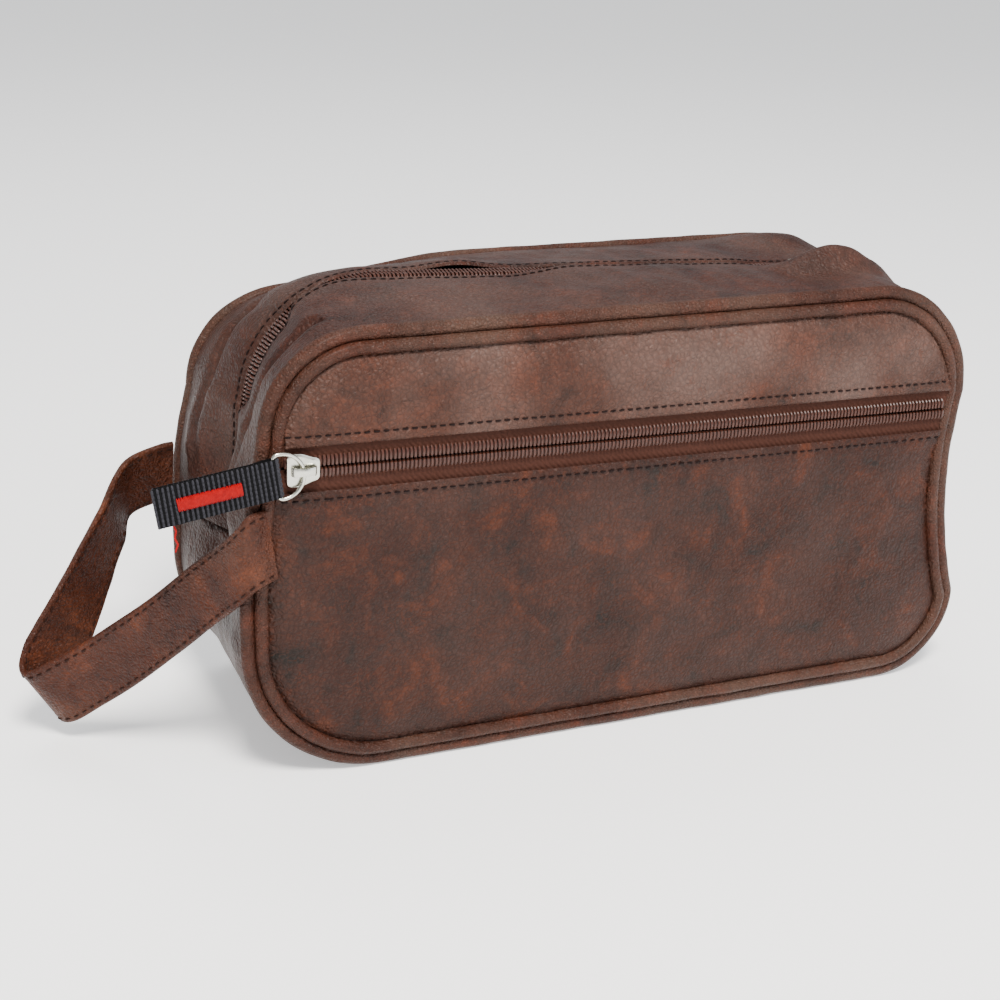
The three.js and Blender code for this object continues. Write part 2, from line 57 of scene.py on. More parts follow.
outward = Vector((
    math.sin(azimuth) * math.cos(elevation), -math.cos(azimuth) * math.cos(elevation), math.sin(elevation)))
camera.location = look_at + outward * distance
facing = outward.to_track_quat("Z", "Y").to_matrix().to_4x4()
camera.rotation_euler = (facing @ Matrix.Rotation(roll, 4, "Z")).to_euler()


def to_linear(hex_colour, alpha=1.0):
    parts = [int(hex_colour[i:i + 2], 16) / 255 for i in (0, 2, 4)]
    return [p / 12.92 if p <= 0.04045 else ((p + 0.055) / 1.055) ** 2.4 for p in parts] + [alpha]


def connect(tree, node, inputs):
    """Sets a node's inputs, by name or number, to values or to other nodes' outputs."""
    for key, value in inputs.items():
        if isinstance(value, bpy.types.NodeSocket):
            tree.links.new(value, node.inputs[key])
        else:
            node.inputs[key].default_value = value


def add_node(tree, kind, inputs=None, stops=(), **settings):
    """Adds a node with its settings, its inputs and, for a colour ramp, its (position, colour) stops."""
    node = tree.nodes.new(kind)
    for key, value in settings.items():
        setattr(node, key, value)
    if stops:
        elements = node.color_ramp.elements
        elements[0].position, elements[1].position = stops[0][0], stops[-1][0]
        for position, _ in stops[1:-1]:
            elements.new(position)
        for element, (_, colour) in zip(elements, stops):
            element.color = colour
    connect(tree, node, inputs or {})
    return node


def new_material(name):
    """A material with its node tree, its shader and the object's own coordinates in millimetres."""
    material = bpy.data.materials.new(name)
    material.use_nodes = True
    tree = material.node_tree
    tree.nodes.clear()
    shader = add_node(tree, "ShaderNodeBsdfPrincipled")
    add_node(tree, "ShaderNodeOutputMaterial", {"Surface": shader.outputs["BSDF"]})
    place = add_node(tree, "ShaderNodeTexCoord").outputs["Object"]
    mm = add_node(tree, "ShaderNodeMapping", {"Vector": place, "Scale": (1000, 1000, 1000)}).outputs[0]
    return material, tree, shader, mm


def studio_light(name, place, size, power, tint):
    light = bpy.data.objects.new(name, bpy.data.lights.new(name, "AREA"))
    light.data.size = size
    light.data.energy = power
    light.data.color = to_linear(tint)[:3]
    light.location = place
    light.rotation_euler = (Vector(place) - look_at).to_track_quat("Z", "Y").to_euler()
    bpy.context.scene.collection.objects.link(light)


studio_light("key_panel", (-0.2, -0.75, 1.2), 0.36, 42, "fffaf4")
studio_light("fill_panel", (0.9, -0.9, 0.6), 1.2, 9, "f2f6ff")
studio_light("rear_panel", (0.1, 0.7, 1.3), 0.8, 7, "ffffff")
world = bpy.data.worlds.new("pale_room")
bpy.context.scene.world = world
world.use_nodes = True
world.node_tree.nodes["Background"].inputs["Color"].default_value = to_linear("f6f8fb")
world.node_tree.nodes["Background"].inputs["Strength"].default_value = 0.62

floor_mesh = bpy.data.meshes.new("floor")
floor_mesh.from_pydata([(-9, -9, 0), (9, -9, 0), (9, 9, 0), (-9, 9, 0)], [], [(0, 1, 2, 3)])
floor = bpy.data.objects.new("floor", floor_mesh)
sweep, tree, shader, _ = new_material("matt_white_sweep")
connect(tree, shader, {
    "Base Color": to_linear("fbfbfb"), "Roughness": 0.9,
    "Emission Color": to_linear("ffffff"), "Emission Strength": 0.5})
floor_mesh.materials.append(sweep)
bpy.context.scene.collection.objects.link(floor)

# ---- Piping ----
# A cord wrapped in a strip of the bag's leather and sewn into the seam all round each face, just inside
# the outline; the gusset's own edge rolls over the seam allowance beside it and makes a second ridge.
# Here and below, lengths are millimetres in the bag's frame, turned to metres when a mesh is made.
TOP_WIDTH, BOTTOM_WIDTH, SEAM_HEIGHT, BASE_Z = 246.0, 258.0, 140.0, 2.5
SEAM_Y, PIPING_RADIUS = 44.5, 2.2
CORNER_RADII = {"top_left": 30.5, "top_right": 36.4, "bottom_left": 43.2, "bottom_right": 27.8}
LEFT_BOW, RIGHT_PINCH = 2.0, 5.1


def arc(cx, cz, radius, start, end, count=40):
    angle = np.radians(np.linspace(start, end, count))
    return np.stack([cx + radius * np.cos(angle), cz + radius * np.sin(angle)], 1)


def bowed_side(start, end, bow, count=40):
    t = np.linspace(0, 1, count)[1:-1, None]
    middle = (start + end) / 2 + np.array([2 * bow, 0])
    return (1 - t) ** 2 * start + 2 * t * (1 - t) * middle + t ** 2 * end


def seam_outline():
    """The closed line where gusset and panels are sewn, clockwise from the top's left end, in X and Z."""
    top = BASE_Z + SEAM_HEIGHT
    r = CORNER_RADII
    top_left = arc(-TOP_WIDTH / 2 + r["top_left"], top - r["top_left"], r["top_left"], 180, 90)
    top_right = arc(TOP_WIDTH / 2 - r["top_right"], top - r["top_right"], r["top_right"], 90, 0)
    low_right = arc(
        BOTTOM_WIDTH / 2 - r["bottom_right"], BASE_Z + r["bottom_right"], r["bottom_right"], 0, -90)
    low_left = arc(
        -BOTTOM_WIDTH / 2 + r["bottom_left"], BASE_Z + r["bottom_left"], r["bottom_left"], 270, 180)
    right = bowed_side(top_right[-1], low_right[0], -RIGHT_PINCH)
    left = bowed_side(low_left[-1], top_left[0], -LEFT_BOW)
    return np.concatenate([top_left, top_right, right, low_right, low_left, left])


def resample(line, count, closed=False):
    if closed:
        line = np.concatenate([line, line[:1]])
    run = np.concatenate([[0], np.cumsum(np.linalg.norm(np.diff(line, axis=0), axis=1))])
    at = np.linspace(0, run[-1], count, endpoint=not closed)
    return np.stack([np.interp(at, run, line[:, k]) for k in range(line.shape[1])], 1)


def side_normals(line, closed=False):
    """Unit vectors to the left of a line's direction, at each of its points."""
    if closed:
        along = np.roll(line, -1, 0) - np.roll(line, 1, 0)
    else:
        along = np.gradient(line, axis=0)
    along /= np.linalg.norm(along, axis=1)[:, None]
    return np.stack([-along[:, 1], along[:, 0]], 1)


def ripple(points, size, seed=0.0):
    """A smooth wandering value from -1 to 1 over points in millimetres, with features of about that size."""
    p = np.asarray(points, float) / size * 2.2 + seed
    x, y, z = p[..., 0], p[..., 1], p[..., 2]
    value = np.sin(x + 1.7 * np.sin(0.83 * z + 1.3 * y)) * np.cos(1.13 * z - 0.9 * np.sin(0.71 * x + seed))
    value += 0.6 * np.sin(1.9 * x - 1.3 * z + 1.1 * y + 2.1) * np.cos(1.7 * y + 0.6 * x)
    return value / 1.6


def smooth(value, start, end):
    t = np.clip((value - start) / (end - start), 0, 1)
    return t * t * (3 - 2 * t)


def slumped(points):
    """The back's upper left corner sags a little under its own weight, and takes its neighbours with it."""
    p = np.array(points, float)
    along = 1 - smooth(p[..., 0], -105, -25)
    p[..., 2] -= 8.5 * along * smooth(p[..., 1], 8, 42) * smooth(p[..., 2], 72, 122)
    return p


def make_piece(name, points, faces, material, sharp=50):
    """A mesh object at the origin from points in millimetres, with sharp edges above that angle."""
    mesh = bpy.data.meshes.new(name)
    mesh.from_pydata((np.asarray(points) * 0.001).tolist(), [], faces)
    mesh.polygons.foreach_set("use_smooth", [True] * len(mesh.polygons))
    mesh.set_sharp_from_angle(angle=math.radians(sharp))
    mesh.materials.append(material)
    piece = bpy.data.objects.new(name, mesh)
    bpy.context.scene.collection.objects.link(piece)
    return piece


def facing_out(points, faces):
    p = np.asarray(points)
    volume = 0.0
    for f in faces:
        for k in range(1, len(f) - 1):
            volume += np.dot(p[f[0]], np.cross(p[f[k]], p[f[k + 1]]))
    return faces if volume > 0 else [f[::-1] for f in faces]


def tube_of(path, a, b, section, closed=False):
    """Points and faces along a path: a and b are cross vectors at each point, section pairs along them."""
    rings = path[:, None] + section[None, :, :1] * a[:, None] + section[None, :, 1:] * b[:, None]
    rows, sides = rings.shape[:2]
    faces = []
    for i in range(rows if closed else rows - 1):
        j = (i + 1) % rows
        for k in range(sides):
            m = (k + 1) % sides
            faces.append((i * sides + k, i * sides + m, j * sides + m, j * sides + k))
    if not closed:
        faces.append(tuple(range(sides))[::-1])
        faces.append(tuple((rows - 1) * sides + k for k in range(sides)))
    return rings.reshape(-1, 3), faces


def swept(name, centre, frames, section, material, closed=False):
    points, faces = tube_of(centre, *frames, section, closed)
    return make_piece(name, points, facing_out(points, faces), material)


def mottled_leather(name, ground, warm, dark, painted_sheen, painted_sheen_amount, gloss, grain=1.0):
    """Polyurethane leather with a cloudy hand-rubbed print, a pebbled grain and fine creases, and soft
    patches of paler grey painted on as sheen, in place of reflected light. Grain at 1.6 mm and creases at
    4 mm are both coarser than life, so that they show."""
    material, tree, shader, mm = new_material(name)
    black, white, half = (0, 0, 0, 1), (1, 1, 1, 1), (0.5, 0.5, 0.5, 1)
    noise = {}
    for use, size, detail, rough, warp in (
            ("print", 17, 7, 0.66, 0.8), ("patches", 9, 4, 0.6, 1.2), ("painted_sheen", 38, 3, 0.5, 0),
            ("broken", 12, 2, 0.6, 0), ("fleck", 1.6, 3, 0.7, 0), ("polish", 6, 4, 0.6, 0),
            ("pebble", 2.6, 4, 0.65, 0), ("dents", 11, 3, 0.5, 0)):
        noise[use] = add_node(tree, "ShaderNodeTexNoise", {
            "Vector": mm, "Scale": 1 / size, "Detail": detail, "Roughness": rough,
            "Distortion": warp}).outputs["Fac"]
    cells = add_node(tree, "ShaderNodeTexVoronoi", {"Vector": mm, "Scale": 0.62 / grain, "Randomness": 1.0},
                     feature="DISTANCE_TO_EDGE").outputs["Distance"]
    wander = add_node(tree, "ShaderNodeTexNoise", {"Vector": mm, "Scale": 0.09, "Detail": 3.0})
    shifted = add_node(tree, "ShaderNodeVectorMath", {
        0: wander.outputs["Color"], 1: (18, 18, 18), 2: mm}, operation="MULTIPLY_ADD")
    creases = add_node(tree, "ShaderNodeTexVoronoi", {
        "Vector": shifted.outputs[0], "Scale": 0.24, "Randomness": 1.0},
        feature="DISTANCE_TO_EDGE").outputs["Distance"]
    ramps = {}
    for use, source, stops in (
            ("print", noise["print"], (
                (0.34, to_linear(dark)), (0.5, to_linear(ground)), (0.66, to_linear(warm)))),
            ("patches", noise["patches"], ((0.42, black), (0.62, white))),
            ("painted_sheen", noise["painted_sheen"], ((0.4, black), (0.66, (painted_sheen_amount,) * 3 + (1,)))),
            ("crease_lines", creases, ((0.0, white), (0.045, black))),
            ("broken", noise["broken"], ((0.42, black), (0.58, half))),
            ("grain", cells, ((0.0, (0.72, 0.7, 0.7, 1)), (0.22, (1.06, 1.05, 1.05, 1)))),
            ("fleck", noise["fleck"], ((0.35, (0.8, 0.78, 0.76, 1)), (0.65, (1.14, 1.12, 1.12, 1))))):
        ramps[use] = add_node(tree, "ShaderNodeValToRGB", {"Fac": source}, stops).outputs["Color"]
    worn = add_node(tree, "ShaderNodeMath", {0: ramps["crease_lines"], 1: ramps["broken"]},
                    operation="MULTIPLY")
    tone = ramps["print"]
    # Over the print: its patches, paler grey patches of painted sheen, warm crease lines, grain and flecks.
    for amount, colour, way in (
            (ramps["patches"], to_linear(ground), "MIX"), (ramps["painted_sheen"], to_linear(painted_sheen), "MIX"),
            (worn.outputs[0], to_linear(warm), "MIX"), (0.75, ramps["grain"], "MULTIPLY"),
            (0.8, ramps["fleck"], "MULTIPLY")):
        layer = add_node(tree, "ShaderNodeMix", {0: amount, 6: tone, 7: colour},
                         data_type="RGBA", blend_type=way)
        tone = layer.outputs[2]
    height = noise["pebble"]
    for relief, amount in ((cells, 0.9), (creases, 0.8), (noise["dents"], 1.6)):
        height = add_node(tree, "ShaderNodeMath", {0: relief, 1: amount, 2: height},
                          operation="MULTIPLY_ADD").outputs[0]
    bump = add_node(tree, "ShaderNodeBump", {"Height": height, "Strength": 0.9, "Distance": 0.0008})
    rough = add_node(tree, "ShaderNodeMapRange", {
        "Value": noise["polish"], "To Min": gloss - 0.08, "To Max": gloss + 0.14})
    connect(tree, shader, {
        "Base Color": tone, "Roughness": rough.outputs[0], "Normal": bump.outputs[0],
        "Specular IOR Level": 0.13, "Coat Weight": 0.03, "Coat Roughness": 0.3})
    return material


piping_leather = mottled_leather(
    "rolled_pu_leather", "392017", "4e281b", "26150f", "4d3a30", 0.6, 0.42, 0.7)
outline = resample(seam_outline(), 560, closed=True)
outline_out = side_normals(outline, closed=True)
PIPING_INSET, ROLL_RADIUS = 4.0, 2.35
turn = np.radians(np.arange(0, 360, 20))
for place, side in (("front", -1), ("back", 1)):
    out = np.stack([outline_out[:, 0], np.zeros(len(outline)), outline_out[:, 1]], 1)
    across = np.tile([0.0, float(side), 0.0], (len(outline), 1))
    for name, inset, y, radius in (
            (f"piping_{place}", PIPING_INSET, SEAM_Y + 0.9, PIPING_RADIUS - 0.1),
            (f"gusset_roll_{place}", 0.0, SEAM_Y - 0.7, ROLL_RADIUS)):
        centre = np.stack([outline[:, 0], np.full(len(outline), side * y), outline[:, 1]], 1) - out * inset
        centre[:, 1] += 0.25 * ripple(centre, 16, 3 + side)
        section = radius * np.stack([np.cos(turn), np.sin(turn)], 1)
        swell = 1 + 0.05 * ripple(centre, 9, 5 * side + inset)[:, None]
        cover = swept(
            name, slumped(centre), (out * swell, across * swell), section, piping_leather, closed=True)
        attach(cover, "bag")
        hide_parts(f"piping_cover_{place}", f"piping_cord_{place}")

# ---- Front and back panels ----
# Leather over a thin layer of foam, cut to the seam line and sewn in under the piping, so that each
# panel dips into a crease all round and swells gently between. The front one is cut across for the
# pocket zip, with both cut edges folded under and topstitched; its lower part folds out as the pocket's lip.
PANEL_EDGE = 5.6                  # the panel ends this far inside the seam's outline
POCKET = {"middle": 102.5, "slope": -0.0136, "up": 6.3, "down": -7.7}
LIP_LEFT, LIP_RIGHT, LIP_HINGE, LIP_MIDDLE = -104.0, 97.0, 62.3, -4.0
panel_line = outline - outline_out * PANEL_EDGE


def pocket_z(x):
    return POCKET["middle"] + POCKET["slope"] * x


def panel_reach(z):
    """Where a height crosses the panel's edge, on the left and on the right."""
    heights = np.clip(z, panel_line[:, 1].min() + 0.02, panel_line[:, 1].max() - 0.02)
    left = panel_line[panel_line[:, 0] < 0]
    right = panel_line[panel_line[:, 0] > 0]
    left = left[np.argsort(left[:, 1])]
    right = right[np.argsort(right[:, 1])]
    return np.interp(heights, left[:, 1], left[:, 0]), np.interp(heights, right[:, 1], right[:, 0])


def edge_distance(x, z):
    flat = np.stack([x.ravel(), z.ravel()], 1)
    nearest = np.full(len(flat), 1e9)
    for point in panel_line[::2]:
        nearest = np.minimum(nearest, np.hypot(flat[:, 0] - point[0], flat[:, 1] - point[1]))
    return nearest.reshape(x.shape)


def level(height, x):
    """A height, or the value at X of a height that changes along X."""
    return height(x) if callable(height) else height


def panel_grid(low, high, columns, rows):
    """X and Z over the panel between two edges, each a height or a function of X."""
    v = 0.5 - 0.5 * np.cos(np.pi * np.linspace(0, 1, rows))
    u = 0.5 - 0.5 * np.cos(np.pi * np.linspace(0, 1, columns))
    x = np.zeros((rows, columns))
    z = np.zeros((rows, columns))
    for i in range(rows):
        height = level(low, 0) * (1 - v[i]) + level(high, 0) * v[i]
        left_height, right_height = height, height
        for attempt in range(3):
            left, right = panel_reach(left_height)[0], panel_reach(right_height)[1]
            x[i] = left + (right - left) * u
            z[i] = level(low, x[i]) * (1 - v[i]) + level(high, x[i]) * v[i]
            mean = float(z[i].mean())
            left_height, right_height = (mean, mean) if attempt == 0 else (z[i, 0], z[i, -1])
    return x, z


def swelling(x, z, seed):
    """How far a panel stands out from the seam plane, in millimetres."""
    d = edge_distance(x, z)
    rise = 2.9 * (1 - np.exp(-d / 2.6)) + 1.3 * (1 - np.exp(-d / 16))
    where = np.stack([x, np.full(x.shape, seed * 10.0), z], -1)
    calm = 1 - np.exp(-d / 9)
    soft = 0.55 * ripple(where, 52, seed) + 0.28 * ripple(where, 23, seed + 2)
    soft += 0.1 * ripple(where, 9, seed + 5)
    pucker = 0.22 * np.exp(-d / 6) * ripple(where, 6, seed + 7)
    return rise + calm * soft + pucker


def near_zip(x, z, depth):
    """Draws a panel back to the flat of its zip along the folded edges."""
    gap = np.abs(z - pocket_z(x) - (POCKET["up"] + POCKET["down"]) / 2) - 7.0
    hold = np.exp(-np.clip(gap, 0, None) / 7.0)
    stitch = 0.3 * np.exp(-((gap - 3.2) / 0.7) ** 2)
    fold = 0.5 * np.exp(-np.clip(gap, 0, None) / 0.45)
    return depth * (1 - hold) + 3.75 * hold - stitch - fold


def shell(name, grid, out, thickness, material, sharp=50):
    """A closed sheet of some thickness whose outer face is a grid of points; out says which way it faces."""
    rows, columns = grid.shape[:2]
    du = np.gradient(grid, axis=1)
    dv = np.gradient(grid, axis=0)
    normal = np.cross(du, dv)
    normal /= np.maximum(np.linalg.norm(normal, axis=2, keepdims=True), 1e-9)
    if (normal * out).sum() < 0:
        normal = -normal
    points = np.concatenate([grid.reshape(-1, 3), (grid - normal * thickness).reshape(-1, 3)])
    count = rows * columns
    faces = []
    for i in range(rows - 1):
        for k in range(columns - 1):
            a = i * columns + k
            quad = (a, a + 1, a + columns + 1, a + columns)
            faces.append(quad)
            faces.append(tuple(count + p for p in quad[::-1]))
    rim = list(range(columns)) + [i * columns + columns - 1 for i in range(1, rows)]
    rim += [count - 1 - k for k in range(1, columns)] + [i * columns for i in range(rows - 2, 0, -1)]
    for a, b in zip(rim, rim[1:] + rim[:1]):
        faces.append((b, a, count + a, count + b))
    first = np.cross(grid[0, 1] - grid[0, 0], grid[1, 0] - grid[0, 0])
    way = out if np.ndim(out) == 1 else out[0, 0]
    if np.dot(first, way) < 0:
        faces = [f[::-1] for f in faces]
    return make_piece(name, points, faces, material, sharp)


# The upper panel's copy is lighter all through and carries far more painted sheen than the others: painted
# light, for a face that tilts up towards the lamps. The lower panel's copy has little sheen.
upper_leather = mottled_leather(
    "mottled_pu_leather_upper_painted_light", "3e261d", "532e20", "291b16", "57453e", 0.85, 0.4)
lower_leather = mottled_leather(
    "mottled_pu_leather_lower", "2e1912", "482312", "1a1512", "402e28", 0.35, 0.42)
back_leather = mottled_leather(
    "mottled_pu_leather_back", "311b15", "482619", "1e1612", "45342e", 0.5, 0.42)


def front_height(x, z):
    return -(SEAM_Y + near_zip(x, z, swelling(x, z, 1.0)))


def pocket_top(x):
    return pocket_z(x) + POCKET["down"]


def pocket_bottom_of_upper(x):
    return pocket_z(x) + POCKET["up"]


TOP_OF_PANEL = float(panel_line[:, 1].max()) - 0.05
BOTTOM_OF_PANEL = float(panel_line[:, 1].min()) + 0.05
front = np.array([0.0, -1.0, 0.0])
x, z = panel_grid(pocket_bottom_of_upper, TOP_OF_PANEL, 190, 56)
upper = shell(
    "front_panel_upper_leather", np.stack([x, front_height(x, z), z], -1), front, 1.0, upper_leather)
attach(upper, "bag")
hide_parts("front_panel_upper")

x, z = panel_grid(BOTTOM_OF_PANEL, LIP_HINGE, 190, 60)
lower = shell(
    "front_panel_lower_leather", np.stack([x, front_height(x, z), z], -1), front, 1.0, lower_leather)
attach(lower, "bag")
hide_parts("front_panel_lower")


def lip_part(name, left, right, columns):
    v = np.linspace(0, 1, 44)[:, None]
    u = np.linspace(0, 1, columns)[None, :]
    edge_left = panel_reach(np.linspace(LIP_HINGE, pocket_top(-110.0), 44))[0][:, None]
    edge_right = panel_reach(np.linspace(LIP_HINGE, pocket_top(110.0), 44))[1][:, None]
    start = edge_left if left is None else np.full((44, 1), left)
    stop = edge_right if right is None else np.full((44, 1), right)
    x = start + (stop - start) * u
    z = LIP_HINGE * (1 - v) + pocket_top(x) * v
    return shell(name, np.stack([x, front_height(x, z), z], -1), front, 1.0, lower_leather)


LIP_BLEND = {"lip_left": (LIP_LEFT, LIP_LEFT + 70), "lip_right": (LIP_RIGHT, LIP_RIGHT - 70)}


def bag_or_lip(piece, part):
    """The lip's middle is left off the bag, its placement baked in; its two ends stay with the bag."""
    if part in LIP_BLEND:
        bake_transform(piece)
    else:
        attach(piece, "bag")


for name, part, left, right, columns, node in (
        ("pocket_front_left_end", "lower_left", None, LIP_LEFT, 16, "front_panel_lower"),
        ("pocket_front_right_end", "lower_right", LIP_RIGHT, None, 18, "front_panel_lower"),
        ("pocket_lip_left", "lip_left", LIP_LEFT, LIP_MIDDLE, 80, "pocket_lip"),
        ("pocket_lip_right", "lip_right", LIP_MIDDLE, LIP_RIGHT, 80, "pocket_lip")):
    piece = lip_part(name, left, right, columns)
    bag_or_lip(piece, part)
    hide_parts(node)

x, z = panel_grid(BOTTOM_OF_PANEL, TOP_OF_PANEL, 170, 110)
back_height = SEAM_Y + 0.9 * swelling(x, z, 4.0)
back = shell("back_panel_leather", slumped(np.stack([x, back_height, z], -1)), -front, 1.0, back_leather)
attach(back, "bag")
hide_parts("back_panel", "foam_back")

# ---- Gusset and main zip ----
# Two long strips of the same leather close the top and its corners on both sides of a nylon coil zip, and
# one wide band goes down the sides and under the bag. Their edges roll over the seam beside the piping,
# and the strips' folded lips lie over the coil wherever the bag doesn't pull them apart.
SIDE_SEAM_Z, MOUTH_LEFT, MOUTH_RIGHT, MOUTH_SPLIT = 66.0, -64.5, 76.0, 6.0
MAIN_ZIP_SLOPE, TAPE_HALF, TAPE_N = -0.045, 11.0, -1.8


def main_zip_z(x):
    return 146.2 + MAIN_ZIP_SLOPE * x


def seam_between(start, stop):
    """The seam outline from one of its points to another, going clockwise."""
    rolled = np.roll(outline, -start, 0)
    return rolled[:(stop - start) % len(outline) + 1]


def nearest(target):
    return int(np.argmin(np.hypot(outline[:, 0] - target[0], outline[:, 1] - target[1])))


left_low = nearest((-128.5, SIDE_SEAM_Z))
right_low = nearest((121.0, SIDE_SEAM_Z))
mouth_ends = (nearest((MOUTH_LEFT, 142.5)), nearest((MOUTH_RIGHT, 142.5)))
left_zip = np.concatenate([
    [[-118.5, SIDE_SEAM_Z]], arc(-73.5, main_zip_z(-73.5) - 44, 44, 180, 90),
    [[MOUTH_LEFT, main_zip_z(MOUTH_LEFT)]]])
right_zip = np.concatenate([
    [[MOUTH_RIGHT, main_zip_z(MOUTH_RIGHT)]], arc(91, main_zip_z(91) - 31, 31, 90, 0),
    [[120.0, SIDE_SEAM_Z]]])
top_zip = np.array([[x, main_zip_z(x)] for x in np.linspace(MOUTH_LEFT, MOUTH_RIGHT, 60)])
counts = {"left": 84, "mouth": 157, "right": 78}
zip_line = np.concatenate([
    resample(left_zip, counts["left"])[:-1], resample(top_zip, counts["mouth"]),
    resample(right_zip, counts["right"])[1:]])
edge_line = np.concatenate([
    resample(seam_between(left_low, mouth_ends[0]), counts["left"])[:-1],
    resample(seam_between(*mouth_ends), counts["mouth"]),
    resample(seam_between(mouth_ends[1], right_low), counts["right"])[1:]])
zip_out, edge_out = side_normals(zip_line), side_normals(edge_line)
first_mouth, last_mouth = counts["left"] - 1, counts["left"] + counts["mouth"] - 2
split_at = int(np.argmin(np.abs(zip_line[:, 0] - MOUTH_SPLIT) + 1e3 * (zip_line[:, 1] < 140)))
stretches = {
    "left": (0, first_mouth), "mouth_left": (first_mouth, split_at), "mouth_right": (split_at, last_mouth),
    "right": (last_mouth, len(zip_line) - 1)}


def hump(value, middle, width):
    return np.exp(-((value - middle) / width) ** 2)


def lips_apart(x, z):
    """1 where the lips show the coil, 0 where they have closed over it."""
    over = smooth(x, -94, -73) * (1 - smooth(x, -34, -6)) + smooth(x, 52, 78) * (1 - smooth(x, 99, 108))
    corner = smooth(z, 108, 114) * (1 - smooth(z, 136, 141)) * (x < -90)
    return np.clip(np.where(z > 140, over, 0) + corner + np.where((x > 60) & (z <= 140), over, 0), 0, 1)


def lip_place(i, side):
    """How far the folded lip stands from the middle of the zip, and how high over the coil."""
    x, z = zip_line[i, 0], zip_line[i, 1]
    apart = lips_apart(x, z)
    arch = hump(x, -43, 13) * (side > 0) * (z > 140)
    reach = 1.0 + 3.7 * apart + 2.0 * arch + 0.25 * ripple(np.stack([x, x * 0 + side, z], -1), 11, 2)
    high = 1.5 - 1.9 * apart + 1.6 * arch
    return np.maximum(reach, 0.6 + 4.2 * (apart > 0.97)), high


def strip_grid(first, last, side):
    i = np.arange(first, last + 1)
    t = np.concatenate([
        np.linspace(0, 0.16, 20)[:-1], np.linspace(0.16, 0.86, 26)[:-1], np.linspace(0.86, 1, 10)])
    reach, high = lip_place(i, side)
    edge, middle = edge_line[i][:, None], zip_line[i][:, None]
    out = edge_out[i][:, None] * (1 - t[:, None]) + zip_out[i][:, None] * t[:, None]
    width = SEAM_Y - 1.4 - reach[:, None]
    y = side * (SEAM_Y - 1.4 - width * t)
    run = width * t
    roll = -1.0 + 1.7 * smooth(run, 0, 2.4)
    last_fold = smooth(t, 0.9, 1.0)
    flat = edge * (1 - t[:, None]) + middle * t[:, None]
    x, z = flat[..., 0], flat[..., 1]
    where = np.stack([x, y, z], -1)
    calm = np.sin(np.pi * np.clip(t, 0, 1)) ** 0.7
    puff = calm * (1.1 + 1.0 * ripple(where, 34, 6 + side) + 0.4 * ripple(where, 13, side))
    crosswise = calm * 0.35 * ripple(where * [1.0, 0.25, 1.0], 8, 4 + side)
    bulge = 9.2 * hump(x, 88, 18) * hump(np.abs(y), 12, 5.5) * (side < 0) * (z > 130)
    bulge += 3.4 * hump(x, 92, 22) * hump(y, 30, 12) * (z > 120)
    bulge += 5.0 * hump(z, 90, 20) * hump(t, 0.5, 0.3) * (x < -90)
    bulge -= 2.2 * hump(np.abs(y) - 0.10 * (z - 110), 24, 2.6) * (x < -100) * smooth(z, 75, 92)
    stitched = -0.35 * hump(run, width - 2.3, 0.6)
    n = roll * (1 - t) + high[:, None] * t + puff + crosswise + bulge * (1 - last_fold) + stitched
    n -= 0.8 * smooth(t, 0.985, 1.0)
    place = flat + out * n[..., None]
    return slumped(np.stack([place[..., 0], y, place[..., 1]], -1))


MOUTH_BLEND = {"mouth_left": (-61, -20), "mouth_right": (MOUTH_RIGHT, 30)}


def bag_or_mouth(piece, stretch):
    """The top's middle is left off the bag, its placement baked in; its two ends stay with the bag."""
    if stretch in MOUTH_BLEND:
        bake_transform(piece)
    else:
        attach(piece, "bag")


def cad_part(stretch, side):
    return f"{stretch.split('_')[0]}_{'front' if side < 0 else 'back'}"


gusset_leather = mottled_leather(
    "mottled_pu_leather_gusset", "301a14", "452317", "1d120f", "48352e", 0.7, 0.4)
for side in (-1, 1):
    for stretch, (first, last) in stretches.items():
        grid = strip_grid(first, last, side)
        name = f"gusset_{stretch}_{'front' if side < 0 else 'back'}"
        strip = shell(name, grid, np.array([grid[0, 0, 0] * 0.01, 0.0, 1.0]), 0.9, gusset_leather, 60)
        bag_or_mouth(strip, stretch)
        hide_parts(f"gusset_strip_{cad_part(stretch, side)}")

band_path = resample(seam_between(right_low, left_low), 300)
band_out = side_normals(band_path)


def band_grid(half_depth, depth=0.0):
    y = np.concatenate([
        np.linspace(-half_depth, 8 - half_depth, 14)[:-1],
        np.linspace(8 - half_depth, half_depth - 8, 40)[:-1],
        np.linspace(half_depth - 8, half_depth, 14)])[None, :]
    x, z = band_path[:, :1], band_path[:, 1:]
    run = half_depth - np.abs(y)
    roll = -1.0 + 1.7 * smooth(run, 0, 2.4)
    where = np.stack(np.broadcast_arrays(x, y, z), -1)
    calm = smooth(run, 2, 16)
    n = roll + calm * (0.9 + 1.1 * ripple(where, 44, 9) + 0.35 * ripple(where, 15, 3))
    under = 1 - smooth(z, 8, 26)
    n = n * (1 - under) + np.minimum(n, 2.3 - 0.35 * calm * hump(x, 0, 90)) * under
    hem = smooth(z, SIDE_SEAM_Z - 26, SIDE_SEAM_Z)
    drawn_in = np.where(x < 0, 10.6, 1.4) * hem * (1 - np.abs(y) / half_depth)
    n = n - drawn_in - 1.1 * hump(z, SIDE_SEAM_Z, 0.8) + 0.5 * hump(z, SIDE_SEAM_Z - 3, 2) - depth
    place = band_path[:, None] + band_out[:, None] * n[..., None]
    return np.stack([place[..., 0], np.broadcast_to(y, n.shape), place[..., 1]], -1)


grid = band_grid(SEAM_Y - 1.4)
out_of_band = np.stack([band_out[:, 0], band_out[:, 0] * 0, band_out[:, 1]], -1)[:, None] * np.ones((1, 1, 3))
band = shell("gusset_band", grid, out_of_band * np.ones(grid.shape), 0.9, gusset_leather, 60)
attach(band, "bag")
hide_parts("gusset_bottom_band")

